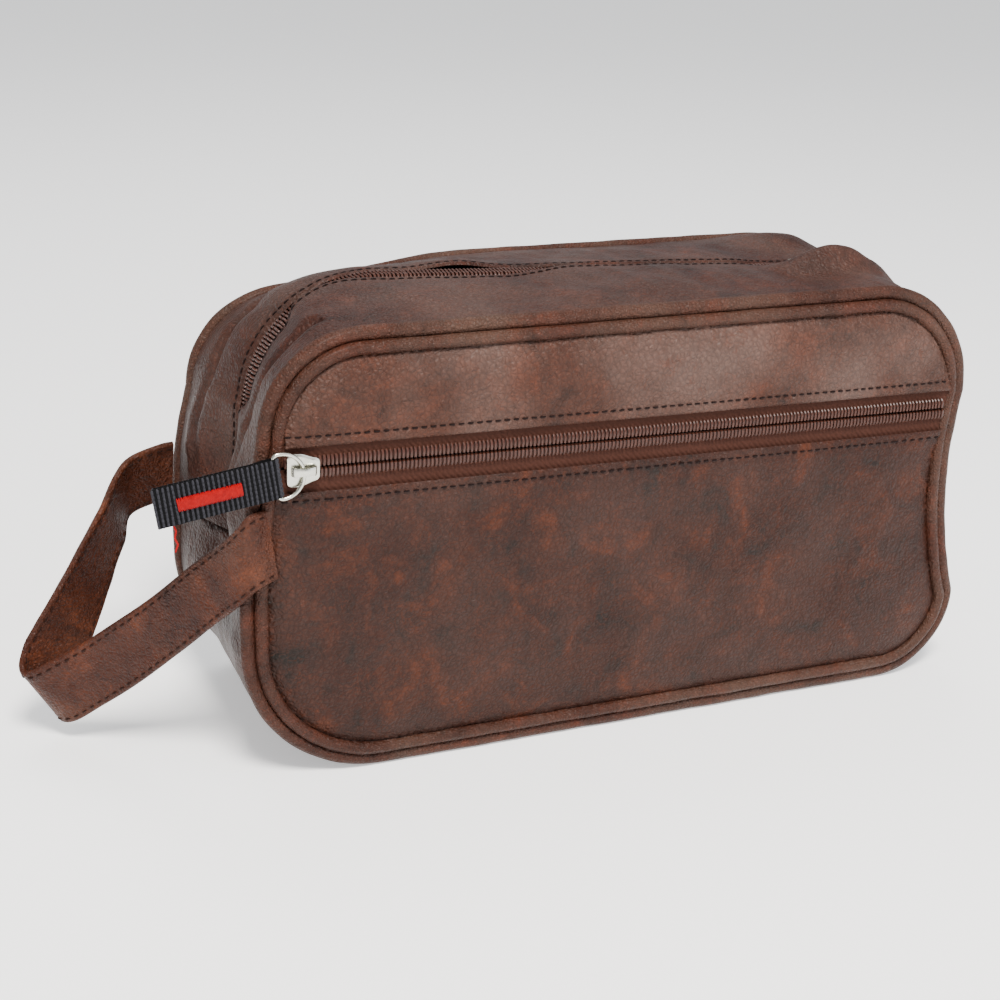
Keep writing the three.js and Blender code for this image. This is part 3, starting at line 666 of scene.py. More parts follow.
# The zip's tape: woven polyester twill, reddish brown, sewn under the strips' lips; the ribs are drawn
# about 1.4 mm apart, coarser than the real ones, so that they show.
twill, tree, shader, mm = new_material("polyester_twill_tape")
ribs = add_node(tree, "ShaderNodeTexWave", {
    "Vector": mm, "Scale": 0.32, "Distortion": 0.6, "Detail": 1.0, "Detail Scale": 1.5},
    bands_direction="DIAGONAL")
ends = add_node(tree, "ShaderNodeTexNoise", {"Vector": mm, "Scale": 1.4, "Detail": 3.0})
shade = add_node(tree, "ShaderNodeValToRGB", {"Fac": ends.outputs["Fac"]},
                 ((0, to_linear("2a1610")), (1, to_linear("47291f"))))
bump = add_node(tree, "ShaderNodeBump", {"Height": ribs.outputs["Fac"], "Strength": 0.6, "Distance": 0.0002})
connect(tree, shader, {
    "Base Color": shade.outputs[0], "Normal": bump.outputs[0], "Roughness": 0.85, "Specular IOR Level": 0.15})

# The coil: nylon monofilament wound to teeth at 1.3 mm and dyed to match, faintly glossy.
nylon, tree, shader, mm = new_material("dyed_nylon_coil")
dye = add_node(tree, "ShaderNodeTexNoise", {"Vector": mm, "Scale": 0.9, "Detail": 2.0})
shade = add_node(tree, "ShaderNodeValToRGB", {"Fac": dye.outputs["Fac"]},
                 ((0, to_linear("2c1712")), (1, to_linear("4c2b20"))))
connect(tree, shader, {"Base Color": shade.outputs[0], "Roughness": 0.38, "Specular IOR Level": 0.35})

# One tree repeats a small piece along a line of points, each turned to the line and to its outward side.
repeat_tree = bpy.data.node_groups.new("repeat_along_line", "GeometryNodeTree")
for label, way, kind in (
        ("Line", "INPUT", "Geometry"), ("Piece", "INPUT", "Object"), ("Spacing", "INPUT", "Float"),
        ("Wobble", "INPUT", "Float"), ("Seed", "INPUT", "Int"), ("Finish", "INPUT", "Material"),
        ("Row", "OUTPUT", "Geometry")):
    repeat_tree.interface.new_socket(label, in_out=way, socket_type=f"NodeSocket{kind}")
given = add_node(repeat_tree, "NodeGroupInput")
curve = add_node(repeat_tree, "GeometryNodeMeshToCurve", {"Mesh": given.outputs["Line"]})
even = add_node(repeat_tree, "GeometryNodeResampleCurve", {
    "Curve": curve.outputs[0], "Length": given.outputs["Spacing"]}, mode="LENGTH")
facing_way = add_node(
    repeat_tree, "GeometryNodeInputNamedAttribute", {"Name": "out"}, data_type="FLOAT_VECTOR")
stand = add_node(repeat_tree, "FunctionNodeAlignRotationToVector", {
    "Vector": facing_way.outputs["Attribute"]}, axis="Z")
tangent = add_node(repeat_tree, "GeometryNodeInputTangent")
along = add_node(repeat_tree, "FunctionNodeAlignRotationToVector", {
    "Rotation": stand.outputs[0], "Vector": tangent.outputs[0]}, axis="X", pivot_axis="Z")
minus = add_node(repeat_tree, "ShaderNodeMath", {0: given.outputs["Wobble"], 1: -1.0}, operation="MULTIPLY")
swing = add_node(repeat_tree, "FunctionNodeRandomValue", {
    2: minus.outputs[0], 3: given.outputs["Wobble"], "Seed": given.outputs["Seed"]}, data_type="FLOAT")
turned = add_node(repeat_tree, "FunctionNodeAxisAngleToRotation", {
    "Axis": (0, 0, 1), "Angle": swing.outputs[1]})
final = add_node(repeat_tree, "FunctionNodeRotateRotation", {
    "Rotation": along.outputs[0], "Rotate By": turned.outputs[0]}, rotation_space="LOCAL")
item = add_node(repeat_tree, "GeometryNodeObjectInfo", {"Object": given.outputs["Piece"]})
placed = add_node(repeat_tree, "GeometryNodeInstanceOnPoints", {
    "Points": even.outputs[0], "Instance": item.outputs["Geometry"], "Rotation": final.outputs[0]})
real = add_node(repeat_tree, "GeometryNodeRealizeInstances", {"Geometry": placed.outputs[0]})
finish = add_node(repeat_tree, "GeometryNodeSetMaterial", {
    "Geometry": real.outputs[0], "Material": given.outputs["Finish"]})
add_node(repeat_tree, "NodeGroupOutput", {"Row": finish.outputs[0]})


def repeated(name, line, out, item, spacing, finish, wobble, seed):
    """A plain mesh of copies of item along a line of millimetre points; out points away from the bag."""
    mesh = bpy.data.meshes.new(name + "_line")
    mesh.from_pydata((np.asarray(line) * 0.001).tolist(), [(k, k + 1) for k in range(len(line) - 1)], [])
    side_way = mesh.attributes.new("out", "FLOAT_VECTOR", "POINT")
    side_way.data.foreach_set("vector", np.broadcast_to(out, (len(line), 3)).astype(np.float32).ravel())
    maker = bpy.data.objects.new(name + "_maker", mesh)
    bpy.context.scene.collection.objects.link(maker)
    modifier = maker.modifiers.new("repeat", "NODES")
    modifier.node_group = repeat_tree
    keys = {s.name: s.identifier for s in repeat_tree.interface.items_tree if s.in_out == "INPUT"}
    for key, value in (("Piece", item), ("Spacing", spacing * 0.001), ("Wobble", math.radians(wobble)),
                       ("Seed", seed), ("Finish", finish)):
        modifier[keys[key]] = value
    bpy.context.view_layer.update()
    ready = maker.evaluated_get(bpy.context.evaluated_depsgraph_get())
    row = bpy.data.objects.new(name, bpy.data.meshes.new_from_object(ready))
    row.data.name = name
    bpy.context.scene.collection.objects.link(row)
    bpy.data.objects.remove(maker)
    return row


def small_tube(name, path, radius, sides=6, closed=False, squash=1.0):
    """A hidden item for repeating: a round tube of millimetre size along a short path."""
    path = np.asarray(path, float)
    if closed:
        along = np.roll(path, -1, 0) - np.roll(path, 1, 0)
    else:
        along = np.gradient(path, axis=0)
    along /= np.linalg.norm(along, axis=1)[:, None]
    helper = np.array([1.0, 0.0, 0.0]) if abs(along[0, 0]) < 0.7 else np.array([0.0, 0.0, 1.0])
    a = np.cross(along, helper)
    a /= np.linalg.norm(a, axis=1)[:, None]
    b = np.cross(along, a)
    turn = np.linspace(0, 2 * np.pi, sides, endpoint=False)
    ring = radius * np.stack([np.cos(turn), np.sin(turn) * squash], 1)
    taper = np.ones((len(path), 1))
    if not closed:
        taper[0], taper[-1] = 0.35, 0.35
    item = swept(name, path, (a * taper, b * taper), ring, nylon, closed)
    item.hide_render = True
    repeated_items.append(item)
    return item


repeated_items = []
# One turn of the coil, across the tape and outwards: from its root over the meshing tip and back below.
tooth_path = {side: [(0, side * y, n) for y, n in (
    (3.3, -0.8), (3.0, -0.42), (2.3, -0.17), (1.6, -0.17), (0.66, -0.22), (0.56, -0.72),
    (0.66, -1.23), (1.6, -1.3), (2.3, -1.3), (3.0, -1.18))] for side in (-1, 1)}
tooth = {side: small_tube(f"tooth_{side}", tooth_path[side], 0.42, 6, closed=True) for side in (-1, 1)}
TOOTH_PITCH = 1.3


def coil_line(first, last, shift):
    """The zip's middle line with its outward side, starting a little way on so that two rows mesh."""
    points = resample(zip_line[first:last + 1], 400)
    run = np.concatenate([[0], np.cumsum(np.linalg.norm(np.diff(points, axis=0), axis=1))])
    at = np.linspace(shift, run[-1], 400)
    line = np.stack([np.interp(at, run, points[:, k]) for k in (0, 1)], 1)
    out = side_normals(line)
    return (np.stack([line[:, 0], line[:, 0] * 0, line[:, 1]], 1),
            np.stack([out[:, 0], out[:, 0] * 0, out[:, 1]], 1))


for side in (-1, 1):
    end = "front" if side < 0 else "back"
    for stretch, (first, last) in stretches.items():
        line, out = coil_line(first, last, TOOTH_PITCH * (0.25 if side < 0 else 0.75))
        coil = repeated(f"main_coil_{stretch}_{end}", line, out, tooth[side], TOOTH_PITCH, nylon, 2.5, 3)
        bag_or_mouth(coil, stretch)
        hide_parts(f"zip_coil_{cad_part(stretch, side)}")
        i = np.arange(first, last + 1)
        across = side * np.linspace(TAPE_HALF, 0.45, 8)
        n = TAPE_N - 0.8 * (np.abs(across) - 0.45) / TAPE_HALF + 0.25 * hump(np.abs(across), 2.0, 1.0)
        place = zip_line[i][:, None] + zip_out[i][:, None] * n[None, :, None]
        grid = np.stack([place[..., 0], np.broadcast_to(across, place.shape[:2]), place[..., 1]], -1)
        upwards = np.array([grid[0, 0, 0] * 0.01, 0, 1.0])
        tape = shell(f"main_tape_{stretch}_{end}", slumped(grid), upwards, 0.45, twill)
        bag_or_mouth(tape, stretch)
        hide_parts(f"zip_tape_{cad_part(stretch, side)}")

# Topstitching beside each folded lip: twisted polyester thread, dark brown and hardly glossy, about four
# stitches to 13 mm. The strap's is a lighter brown.
threads = {}
for thread_name, colour in (("twisted_polyester_thread", "150b0a"), ("brown_polyester_thread", "22120d")):
    threads[thread_name], tree, shader, mm = new_material(thread_name)
    plies = add_node(tree, "ShaderNodeTexWave", {"Vector": mm, "Scale": 0.9, "Distortion": 2.0})
    bump = add_node(tree, "ShaderNodeBump", {
        "Height": plies.outputs["Fac"], "Strength": 0.5, "Distance": 0.0001})
    connect(tree, shader, {
        "Base Color": to_linear(colour), "Normal": bump.outputs[0], "Roughness": 0.7,
        "Specular IOR Level": 0.1})
topstitching = threads["twisted_polyester_thread"]
STITCH, STITCH_PITCH = 2.1, 3.0
stitch = small_tube("stitch", [
    (x, 0, 0.16 - 0.42 * (2 * x / STITCH) ** 4) for x in np.linspace(-0.5, 0.5, 7) * STITCH], 0.28, 6)
for side in (-1, 1):
    for stretch, (first, last) in stretches.items():
        grid = strip_grid(first, last, side)
        reach = np.abs(grid[:, -1, 1])
        line = np.array([[np.interp(-(r + 2.2), -np.abs(row[:, 1]), row[:, k]) for k in range(3)]
                         for row, r in zip(grid, reach)])
        i = np.arange(first, last + 1)
        out = np.stack([zip_out[i, 0], zip_out[i, 0] * 0, zip_out[i, 1]], 1)
        end = "front" if side < 0 else "back"
        row = repeated(
            f"lip_stitches_{stretch}_{end}", line + out * 0.05, out, stitch, STITCH_PITCH, topstitching, 3, 5)
        bag_or_mouth(row, stretch)

# ---- Pocket zip ----
# A straight zip of the same kind across the front: its upper tape is sewn behind the upper panel, its
# lower one behind the pocket's lip, and a row of topstitching holds each folded edge.
POCKET_LEFT, POCKET_RIGHT, POCKET_COIL_Y = -118.0, 115.0, -48.3
pocket_parts = {
    "upper": (POCKET_LEFT, POCKET_RIGHT), "lower_left": (POCKET_LEFT, LIP_LEFT),
    "lip_left": (LIP_LEFT, LIP_MIDDLE), "lip_right": (LIP_MIDDLE, LIP_RIGHT),
    "lower_right": (LIP_RIGHT, POCKET_RIGHT)}
for part, (left, right) in pocket_parts.items():
    side = 1 if part == "upper" else -1
    node = "lip" if part.startswith("lip") else part
    x = np.arange(left + TOOTH_PITCH * (0.25 if side > 0 else 0.75), right, 0.65)
    line = np.stack([x, x * 0 + POCKET_COIL_Y, pocket_z(x)], 1)
    coil = repeated(f"pocket_coil_row_{part}", line, front, tooth[side], TOOTH_PITCH, nylon, 2, 8)
    bag_or_lip(coil, part)
    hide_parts(f"pocket_coil_{node}")
    tape_left, tape_right = left - 3 * (left == POCKET_LEFT), right + 4 * (right == POCKET_RIGHT)
    x = np.linspace(tape_left, tape_right, max(int((tape_right - tape_left) / 2), 6))[:, None]
    up = side * np.linspace(TAPE_HALF, 0.45, 12)[None, :]
    sunk = 1.8 - 0.22 * hump(np.abs(up), 2.0, 1.0) - 0.2 * hump(np.abs(up), 5.6, 0.5)
    wander = 0.12 * ripple(np.stack(np.broadcast_arrays(x, x * 0, up), -1), 22, 1)
    grid = np.stack(np.broadcast_arrays(x, POCKET_COIL_Y + sunk + wander, pocket_z(x) + up), -1)
    tape = shell(f"pocket_tape_cloth_{part}", grid, front, 0.45, twill)
    bag_or_lip(tape, part)
    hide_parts(f"pocket_tape_{node}")
    inset = 3.3 if side > 0 else 2.5
    x = np.arange(left + (1.5 if side > 0 else 0), right, 1.0)
    z = pocket_z(x) + (POCKET["up"] + inset if side > 0 else POCKET["down"] - inset)
    y = front_height(x, z)
    line = np.stack([x, y - 0.02, z], 1)
    row = repeated(f"pocket_stitches_{part}", line, front, stitch, STITCH_PITCH, topstitching, 3, 2)
    bag_or_lip(row, part)

# ---- Sliders and pull rings ----
# Die-cast zinc sliders with a bright nickel plate: a shield-shaped top and bottom plate, a thin neck
# between the rows and an arched bridge, through which the bent wire ring passes.
nickel, tree, shader, mm = new_material("bright_nickel_plate")
wear = add_node(tree, "ShaderNodeTexNoise", {"Vector": mm, "Scale": 0.7, "Detail": 5.0})
gloss = add_node(tree, "ShaderNodeMapRange", {"Value": wear.outputs["Fac"], "To Min": 0.16, "To Max": 0.36})
bump = add_node(tree, "ShaderNodeBump", {"Height": wear.outputs["Fac"], "Strength": 0.12, "Distance": 0.0001})
connect(tree, shader, {
    "Base Color": to_linear("c4c3b8"), "Metallic": 1.0, "Roughness": gloss.outputs[0],
    "Normal": bump.outputs[0]})
RING_WIRE, RING_AT = 0.6, 2.1


def frame_of(origin, along, out):
    """An origin with three unit axes as rows: along, across and outwards."""
    along = np.array(along, float) / np.linalg.norm(along)
    out = np.array(out, float) - np.dot(out, along) * along
    out /= np.linalg.norm(out)
    return np.array(origin, float), np.stack([along, np.cross(out, along), out])


def put(name, points, faces, frame_at, material, sharp=40):
    origin, axes = frame_at
    return make_piece(name, origin + np.asarray(points) @ axes, facing_out(points, faces), material, sharp)


def shield(wide, narrow, half, count=9):
    """The outline of a slider's plate: round-cornered, wide at -X, narrowing towards +X."""
    corner = 1.6
    start = [(-half + corner - corner * np.cos(a), -wide + corner - corner * np.sin(a))
             for a in np.linspace(0, np.pi / 2, count)]
    finish = [(half - corner + corner * np.sin(a), -narrow + corner - corner * np.cos(a))
              for a in np.linspace(0, np.pi / 2, count)]
    waist = [(x, -wide + (wide - narrow) * smooth(x, -half * 0.3, half * 0.8))
             for x in np.linspace(-half + corner, half - corner, 10)[1:-1]]
    lower = start + waist + finish
    return np.array(lower + [(x, -y) for x, y in lower[::-1]])


def plate_of(outline_xy, low, high, edge):
    """A plate between two heights with rounded rims."""
    centre = outline_xy.mean(0)
    rings = []
    for n, shrink in ((low, edge), (low + edge * 0.4, edge * 0.2), (low + edge, 0), (high - edge, 0),
                      (high - edge * 0.4, edge * 0.2), (high, edge), (high + edge * 0.3, edge * 4)):
        scale = 1 - shrink / np.linalg.norm(outline_xy - centre, axis=1)[:, None]
        rings.append(np.column_stack([centre + (outline_xy - centre) * scale, np.full(len(outline_xy), n)]))
    points = np.concatenate(rings)
    count = len(outline_xy)
    faces = []
    for r in range(len(rings) - 1):
        for k in range(count):
            k_next = (k + 1) % count
            faces.append((r * count + k, r * count + k_next, (r + 1) * count + k_next, (r + 1) * count + k))
    faces.append(tuple(range(count))[::-1])
    faces.append(tuple((len(rings) - 1) * count + k for k in range(count)))
    return points, faces


def joined(parts):
    points, faces, start = [], [], 0
    for p, f in parts:
        f = facing_out(p, f)
        points.append(np.asarray(p))
        faces += [tuple(start + k for k in face) for face in f]
        start += len(p)
    return np.concatenate(points), faces


def slider_parts():
    top = plate_of(shield(5.1, 3.6, 5.0), 0.3, 1.1, 0.3)
    bottom = plate_of(shield(5.1, 3.6, 5.0), -3.5, -2.8, 0.25)
    neck = plate_of(np.array([(-4.4, -0.1), (-2.6, -0.1), (-2.6, 0.1), (-4.4, 0.1)]), -2.9, 0.4, 0.02)
    t = np.linspace(0, 1, 26)
    x = 3.5 * np.cos(np.pi * t)
    z = 0.9 + 2.35 * np.sin(np.pi * t) ** 0.55
    path = np.stack([x, x * 0, z], 1)
    along = np.gradient(path, axis=0)
    along /= np.linalg.norm(along, axis=1)[:, None]
    b = np.cross(along, np.tile([0.0, 1.0, 0.0], (26, 1)))
    a = np.tile([0.0, 1.0, 0.0], (26, 1)) * (1 + 0.35 * np.abs(np.cos(np.pi * t)))[:, None]
    turn = np.linspace(0, 2 * np.pi, 12, endpoint=False)
    section = np.stack([1.15 * np.sign(np.cos(turn)) * np.abs(np.cos(turn)) ** 0.6,
                        0.42 * np.sign(np.sin(turn)) * np.abs(np.sin(turn)) ** 0.6], 1)
    return joined([top, bottom, neck, tube_of(path, a, b, section)])


def ring_parts(length, width):
    r = width / 2
    bar = -length + RING_WIRE
    round_end = arc(-r, 0, r, -90, 90, 30)
    corner = 1.4
    lower = arc(bar + corner, -r + corner, corner, 180, 270, 8)
    upper = arc(bar + corner, r - corner, corner, 90, 180, 8)
    flat = resample(np.concatenate([lower, round_end, upper]), 90, closed=True)
    out = side_normals(flat, closed=True)
    turn = np.linspace(0, 2 * np.pi, 12, endpoint=False)
    section = RING_WIRE * np.stack([np.cos(turn), np.sin(turn)], 1)
    path = np.column_stack([flat, np.zeros(90)])
    a = np.column_stack([out, np.zeros(90)])
    return tube_of(path, a, np.tile([0.0, 0.0, 1.0], (90, 1)), section, closed=True)


MAIN_SLIDER_X = 86.0
main_frame = frame_of((MAIN_SLIDER_X, 0.0, main_zip_z(MAIN_SLIDER_X)), (1, 0, MAIN_ZIP_SLOPE), (0, 0, 1))
POCKET_SLIDER_X = -112.59
pocket_frame = frame_of(
    (POCKET_SLIDER_X, POCKET_COIL_Y, pocket_z(POCKET_SLIDER_X)), (1, 0, POCKET["slope"]), (0, -1, 0))
for name, frame_at in (("main", main_frame), ("pocket", pocket_frame)):
    body = put(f"{name}_slider_casting", *slider_parts(), frame_at, nickel)
    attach(body, f"{name}_slider")
    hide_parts(f"{name}_slider_body")


def ring_frame(frame_at, x, turn):
    """Where a ring's pivot stands on its slider, turned about the slider's outward axis by degrees."""
    origin, axes = frame_at
    c, s = math.cos(math.radians(turn)), math.sin(math.radians(turn))
    return origin + np.array([x, 0, RING_AT]) @ axes, np.array([[c, s, 0], [-s, c, 0], [0, 0, 1.0]]) @ axes


pocket_ring_frame = ring_frame(pocket_frame, -0.2, 9)
for name, size, frame_at in (("main", (13, 11), ring_frame(main_frame, -0.6, 180)),
                             ("pocket", (9.2, 14), pocket_ring_frame)):
    ring = put(f"{name}_pull_ring", *ring_parts(*size), frame_at, nickel)
    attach(ring, f"{name}_ring")
    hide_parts(f"{name}_slider_ring")

# ---- Webbing pull tab ----
# Black half-inch polypropylene webbing with ribs across it, folded round the pocket ring's bar and held
# by a solid bar of red embroidery through both layers; one red thread end has worked loose.
webbing = {}
# The webbing is one black all through; its ground gets a near-black copy as painted shade between the ribs,
# and its ribs a lighter grey copy as painted highlights on the raised yarns.
for painted_shading, darkest, lightest in (("warp", "020203", "0e0e10"), ("ribs", "101012", "3c3c42")):
    webbing[painted_shading], tree, shader, mm = new_material(f"black_polypropylene_webbing_{painted_shading}")
    yarn = add_node(tree, "ShaderNodeTexNoise", {"Vector": mm, "Scale": 1.8, "Detail": 4.0, "Roughness": 0.7})
    shade = add_node(tree, "ShaderNodeValToRGB", {"Fac": yarn.outputs["Fac"]},
                     ((0, to_linear(darkest)), (1, to_linear(lightest))))
    bump = add_node(tree, "ShaderNodeBump", {
        "Height": yarn.outputs["Fac"], "Strength": 0.8, "Distance": 0.0002})
    connect(tree, shader, {
        "Base Color": shade.outputs[0], "Normal": bump.outputs[0], "Roughness": 0.8,
        "Specular IOR Level": 0.1})
TAB_LENGTH, TAB_HALF, TAB_THICK, RIB_PITCH = 36.0, 6.1, 0.6, 1.45
tab_origin, tab_axes = pocket_ring_frame
tab_frame = (tab_origin + np.array([-9.2 + RING_WIRE, 0, 0]) @ tab_axes, tab_axes)
middle = RING_WIRE + 0.05 + TAB_THICK / 2
bend = np.radians(np.linspace(90, -90, 14))
fold = np.concatenate([
    [(x, middle) for x in np.linspace(-TAB_LENGTH, -0.5, 40)],
    np.stack([middle * np.cos(bend), middle * np.sin(bend)], 1),
    [(x, -middle) for x in np.linspace(-0.5, -TAB_LENGTH + 0.6, 40)]])
apart = smooth(-fold[:, 0], 2.5, 7.0)
fold[:, 1] = np.sign(fold[:, 1]) * (np.abs(fold[:, 1]) * (1 - apart) + 0.58 * apart) + 0.5 * apart
fold_out = side_normals(fold)
path = np.stack([fold[:, 0], fold[:, 0] * 0, fold[:, 1]], 1)
out = np.stack([fold_out[:, 0], fold_out[:, 0] * 0, fold_out[:, 1]], 1)
across = np.tile([0.0, 1.0, 0.0], (len(path), 1)) * (1 + 0.012 * ripple(path * 3, 9, 4)[:, None])
u = np.linspace(-1, 1, 13)
section = np.concatenate([
    np.stack([u * TAB_HALF, TAB_THICK / 2 * (1 - np.abs(u) ** 6 * 0.7)], 1),
    np.stack([-u * TAB_HALF, -TAB_THICK / 2 * (1 - np.abs(u) ** 6 * 0.7)], 1)])
# The tab's ground takes the near-black copy: painted shade.
tab = put("pull_tab_webbing", *tube_of(path, across, out, section), tab_frame, webbing["warp"], 60)
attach(tab, "pocket_tab")
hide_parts("pocket_tab_webbing")
rib = small_tube("webbing_rib", [
    (0, y, 0.36 * abs(math.sin(math.pi * y / 1.5)) - 0.3) for y in np.linspace(-TAB_HALF, TAB_HALF, 33)],
    0.5, 8, squash=0.8)


def on_tab(points):
    """Points of the tab's own frame, placed in the bag's."""
    return tab_frame[0] + points @ tab_axes


# The ribs take the lighter grey copy: painted highlights.
for name, part in (("front", slice(0, 48)), ("back", slice(60, None))):
    ribs = repeated(f"pull_tab_ribs_{name}", on_tab((path + out * 0.3)[part]), (out @ tab_axes)[part], rib,
                    RIB_PITCH, webbing["ribs"], 1.2, 7)
    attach(ribs, "pocket_tab")

# The bar: trilobal polyester embroidery thread, bright red with a satin gloss, laid side by side.
satin, tree, shader, mm = new_material("red_embroidery_thread")
tone = add_node(tree, "ShaderNodeTexNoise", {"Vector": mm, "Scale": 0.8, "Detail": 2.0})
shade = add_node(tree, "ShaderNodeValToRGB", {"Fac": tone.outputs["Fac"]},
                 ((0, to_linear("6a0003")), (1, to_linear("9c0004"))))
connect(tree, shader, {"Base Color": shade.outputs[0], "Roughness": 0.45, "Specular IOR Level": 0.12})
satin_stitch = small_tube("satin_stitch", [
    (0, y, 0.42 * (1 - (y / 2.1) ** 4)) for y in np.linspace(-2.1, 2.1, 9)], 0.26, 6)
bar_line = np.array([(x, 0.0, 0.58 + 0.5 + TAB_THICK / 2 + 0.42) for x in np.linspace(-29.6, -10.8, 20)])
bar = repeated("red_bar_tack", on_tab(bar_line), tab_axes[2], satin_stitch, 0.36, satin, 5, 4)
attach(bar, "pocket_tab")
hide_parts("pocket_tab_bar_tack")
loose = np.array([(-31.0, -5.2, -0.4), (-31.6, -6.4, -0.5), (-31.2, -8.5, -0.2), (-32.0, -10.5, 0.1),
                  (-31.4, -12.6, -0.1), (-32.6, -14.6, 0.2)])
loose = resample(np.stack([np.interp(np.linspace(0, 5, 40), range(6), loose[:, k]) for k in range(3)], 1), 40)
loose_end = put("loose_red_thread", *tube_of(
    loose, np.tile([1.0, 0, 0], (40, 1)), np.tile([0, 0, 1.0], (40, 1)),
    0.3 * np.stack([np.cos(np.radians(range(0, 360, 45))), np.sin(np.radians(range(0, 360, 45)))], 1)),
    tab_frame, satin)
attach(loose_end, "pocket_tab")

# ---- Side strap ----
# A hand loop of reddish leather about 23 mm wide: the edges are turned under and topstitched 2 mm in, and
# both ends are caught in the seams on the left. It hangs twisted, with its far bend resting low.
strap_edges = np.array([
    [(-123.5, -46.6, 91.5), (-120.5, -46.6, 70)], [(-130, -49.6, 90.5), (-127, -49.6, 69)],
    [(-134, -45.5, 86), (-133, -47, 60.5)], [(-140, -36.5, 77), (-138, -37, 51)],
    [(-155.5, -20, 56), (-151.5, -20, 32)], [(-172, -5, 38), (-166, -5, 15.5)],
    [(-187, 3.5, 27), (-175.5, 3.5, 6.8)], [(-190, 8, 27.5), (-177.5, 9.5, 8)],
    [(-186, 11, 34), (-171, 15, 20)], [(-179, 13, 44), (-162.5, 22, 34)],
    [(-168, 19.5, 58.5), (-155, 32, 45)], [(-158.5, 26.5, 70), (-150, 38, 53.5)],
    [(-152, 31, 79), (-148, 40.5, 60.5)], [(-146, 35, 83.5), (-144, 42.3, 63)],
    [(-136.1, 37.2, 86), (-136.1, 43.3, 65)], [(-131.7, 38, 86.5), (-131.7, 43.6, 65)]], float)


def smooth_line(points, count):
    """A Catmull-Rom line through points."""
    padded = np.concatenate([[2 * points[0] - points[1]], points, [2 * points[-1] - points[-2]]])
    at = np.linspace(0, len(points) - 1 - 1e-6, count)
    i = at.astype(int)
    t = (at - i)[:, None]
    p0, p1, p2, p3 = padded[i], padded[i + 1], padded[i + 2], padded[i + 3]
    return 0.5 * (2 * p1 + (p2 - p0) * t + (2 * p0 - 5 * p1 + 4 * p2 - p3) * t ** 2
                  + (3 * p1 - p0 - 3 * p2 + p3) * t ** 3)


upper_edge = smooth_line(strap_edges[:, 0], 260)
lower_edge = smooth_line(strap_edges[:, 1], 260)
strap_middle = (upper_edge + lower_edge) / 2
half_across = (upper_edge - lower_edge) / 2
unit_across = half_across / np.linalg.norm(half_across, axis=1)[:, None]
strap_along = np.gradient(strap_middle, axis=0)
strap_out = np.cross(strap_along, unit_across)
strap_out /= np.linalg.norm(strap_out, axis=1)[:, None]
STRAP_HALF = 11.7
half_across = unit_across * (STRAP_HALF + 0.25 * ripple(strap_middle, 14, 3)[:, None])
strap_middle = strap_middle + strap_out * 0.25 * ripple(strap_middle, 11, 6)[:, None]
u = np.concatenate([[-1, -0.985, -0.95], np.linspace(-0.9, 0.9, 31), [0.95, 0.985, 1]])
edge_run = (1 - np.abs(u)) * STRAP_HALF
thick = 1.05 * np.clip(1 - (1 - np.clip(edge_run / 0.9, 0, 1)) ** 2.2, 0.12, 1)
thick -= 0.22 * hump(edge_run, 2.1, 0.42) + 0.12 * smooth(edge_run, 2.6, 4.2)
section = np.concatenate([np.stack([u, thick], 1), np.stack([-u, -thick[::-1]], 1)])
strap_leather = mottled_leather(
    "turned_edge_strap_leather", "3b1d12", "552c1a", "27120d", "53372a", 0.5, 0.38, 0.8)
strap = swept("side_strap", strap_middle, (half_across, strap_out), section, strap_leather)
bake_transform(strap)
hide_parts("strap_loop", "strap_end_front", "strap_end_back")
for edge in (-1, 1):
    for face in (-1, 1):
        line = strap_middle + half_across * edge * (1 - 2.1 / STRAP_HALF) + strap_out * face * 0.9
        name = f"strap_stitches_{'upper' if edge > 0 else 'lower'}_{'outer' if face > 0 else 'inner'}"
        row = repeated(
            name, line[6:-6], (strap_out * face)[6:-6], stitch, 3.6, threads["brown_polyester_thread"], 2, 6)
        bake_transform(row)

# ---- Linings and stiffening ----
# Thin dark nylon taffeta lines the bag and the pocket, bound over the seams; closed foam stiffens the
# front and a fibreboard lies in the base. The taffeta's weave is drawn at 1 mm, far coarser than life.
taffeta, tree, shader, mm = new_material("nylon_taffeta_lining")
warp, weft = [add_node(tree, "ShaderNodeTexWave", {"Vector": mm, "Scale": 0.3, "Distortion": 0.3},
                       bands_direction=way) for way in "XZ"]
weave = add_node(tree, "ShaderNodeMath", {0: warp.outputs["Fac"], 1: weft.outputs["Fac"]},
                 operation="MULTIPLY")
# The taffeta's colour goes darker and lighter over about 20 mm: painted shade and light of loose folds, not a
# colour of the cloth.
folds = add_node(tree, "ShaderNodeTexNoise", {"Vector": mm, "Scale": 0.05, "Detail": 3.0})
shade = add_node(tree, "ShaderNodeValToRGB", {"Fac": folds.outputs["Fac"]},
                 ((0, to_linear("1f1b1a")), (1, to_linear("3a3330"))))
bump = add_node(tree, "ShaderNodeBump", {"Height": weave.outputs[0], "Strength": 0.3, "Distance": 0.0001})
connect(tree, shader, {"Base Color": shade.outputs[0], "Normal": bump.outputs[0], "Roughness": 0.55})
LINING_INSET, LINING_NARROWING = 4.4, 0.982
inner_line = outline - outline_out * LINING_INSET
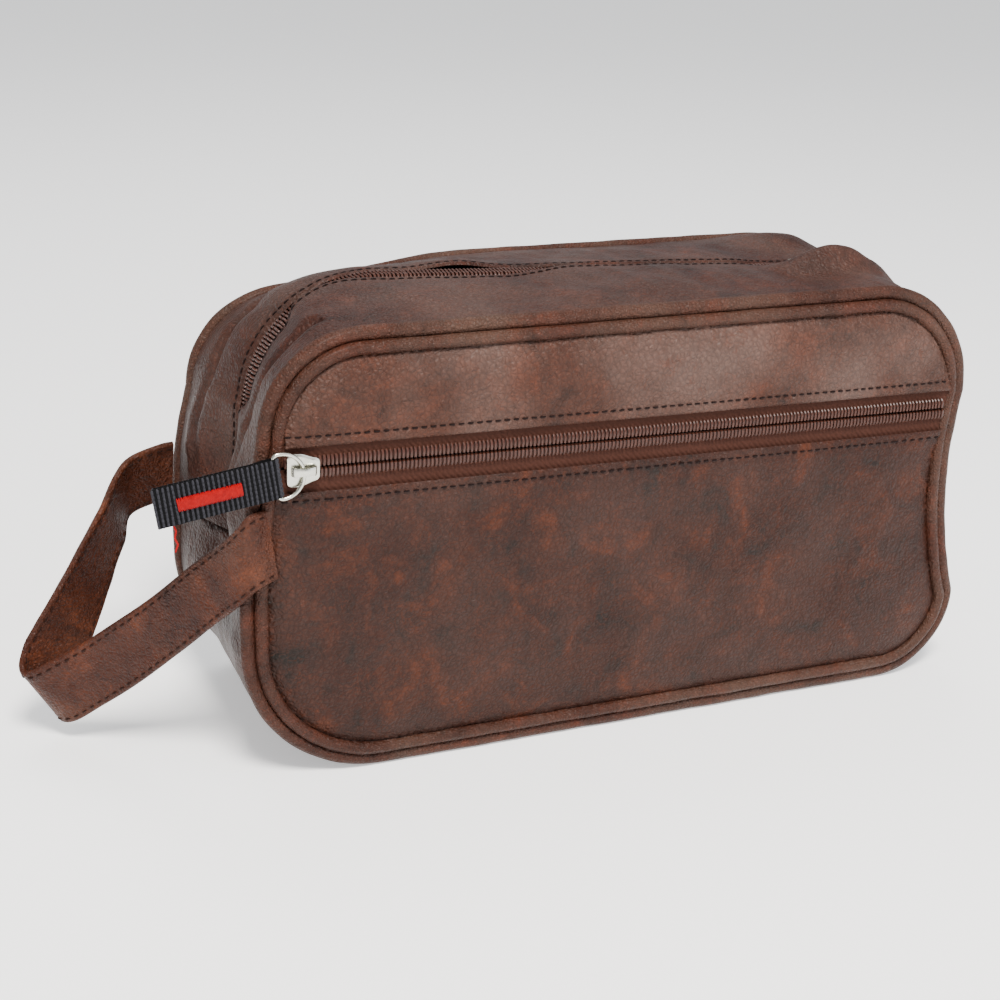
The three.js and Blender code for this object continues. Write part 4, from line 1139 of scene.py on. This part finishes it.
inner_line[:, 0] *= LINING_NARROWING
LINING_LOW, LINING_HIGH = float(inner_line[:, 1].min()) + 0.3, float(inner_line[:, 1].max()) - 0.3
for name, y, limit in (
        ("lining_front", -38.2, 0.35), ("lining_back", 43.2, 0.35), ("pocket_lining", -41.7, 0.2)):
    x, z = panel_grid(LINING_LOW, LINING_HIGH, 110, 70)
    x = x * LINING_NARROWING
    where = np.stack([x, x * 0 + y, z], -1)
    folds = limit * ripple(where, 26, 3) + 0.5 * limit * ripple(where, 9, 1)
    facing_inside = -front if y < 0 else front
    cloth = shell(name + "_cloth", slumped(np.stack([x, y + folds, z], -1)), facing_inside, 0.3, taffeta)
    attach(cloth, "bag")
    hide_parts(name)
BAND_LINING_HALF = 37.0
grid = band_grid(BAND_LINING_HALF, 2.6)
cloth = shell("lining_band_cloth", grid, -out_of_band * np.ones(grid.shape), 0.3, taffeta)
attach(cloth, "bag")
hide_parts("lining_band")

# Polyethylene foam, grey fibreboard and folded taffeta over the seams, none of them glossy.
for finish_name, colour, rough, grain_mm, nodes in (
        ("closed_cell_foam", "d8d2c4", 0.95, 0.8, ("foam_front",)),
        ("pressed_fibreboard", "8a8378", 0.8, 2.5, ("base_board",)),
        ("folded_taffeta_binding", "2c2724", 0.6, 1.0, ("seam_binding_front", "seam_binding_back"))):
    stuff, tree, shader, mm = new_material(finish_name)
    specks = add_node(tree, "ShaderNodeTexNoise", {"Vector": mm, "Scale": 1 / grain_mm, "Detail": 3.0})
    tint = add_node(tree, "ShaderNodeMix", {0: 0.35, 6: to_linear(colour), 7: specks.outputs["Fac"]},
                    data_type="RGBA", blend_type="MULTIPLY")
    bump = add_node(tree, "ShaderNodeBump", {
        "Height": specks.outputs["Fac"], "Strength": 0.3, "Distance": 0.0002})
    connect(tree, shader, {"Base Color": tint.outputs[2], "Normal": bump.outputs[0], "Roughness": rough})
    for node in nodes:
        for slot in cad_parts[node].material_slots:
            slot.material = stuff

for item in repeated_items:
    bpy.data.objects.remove(item)
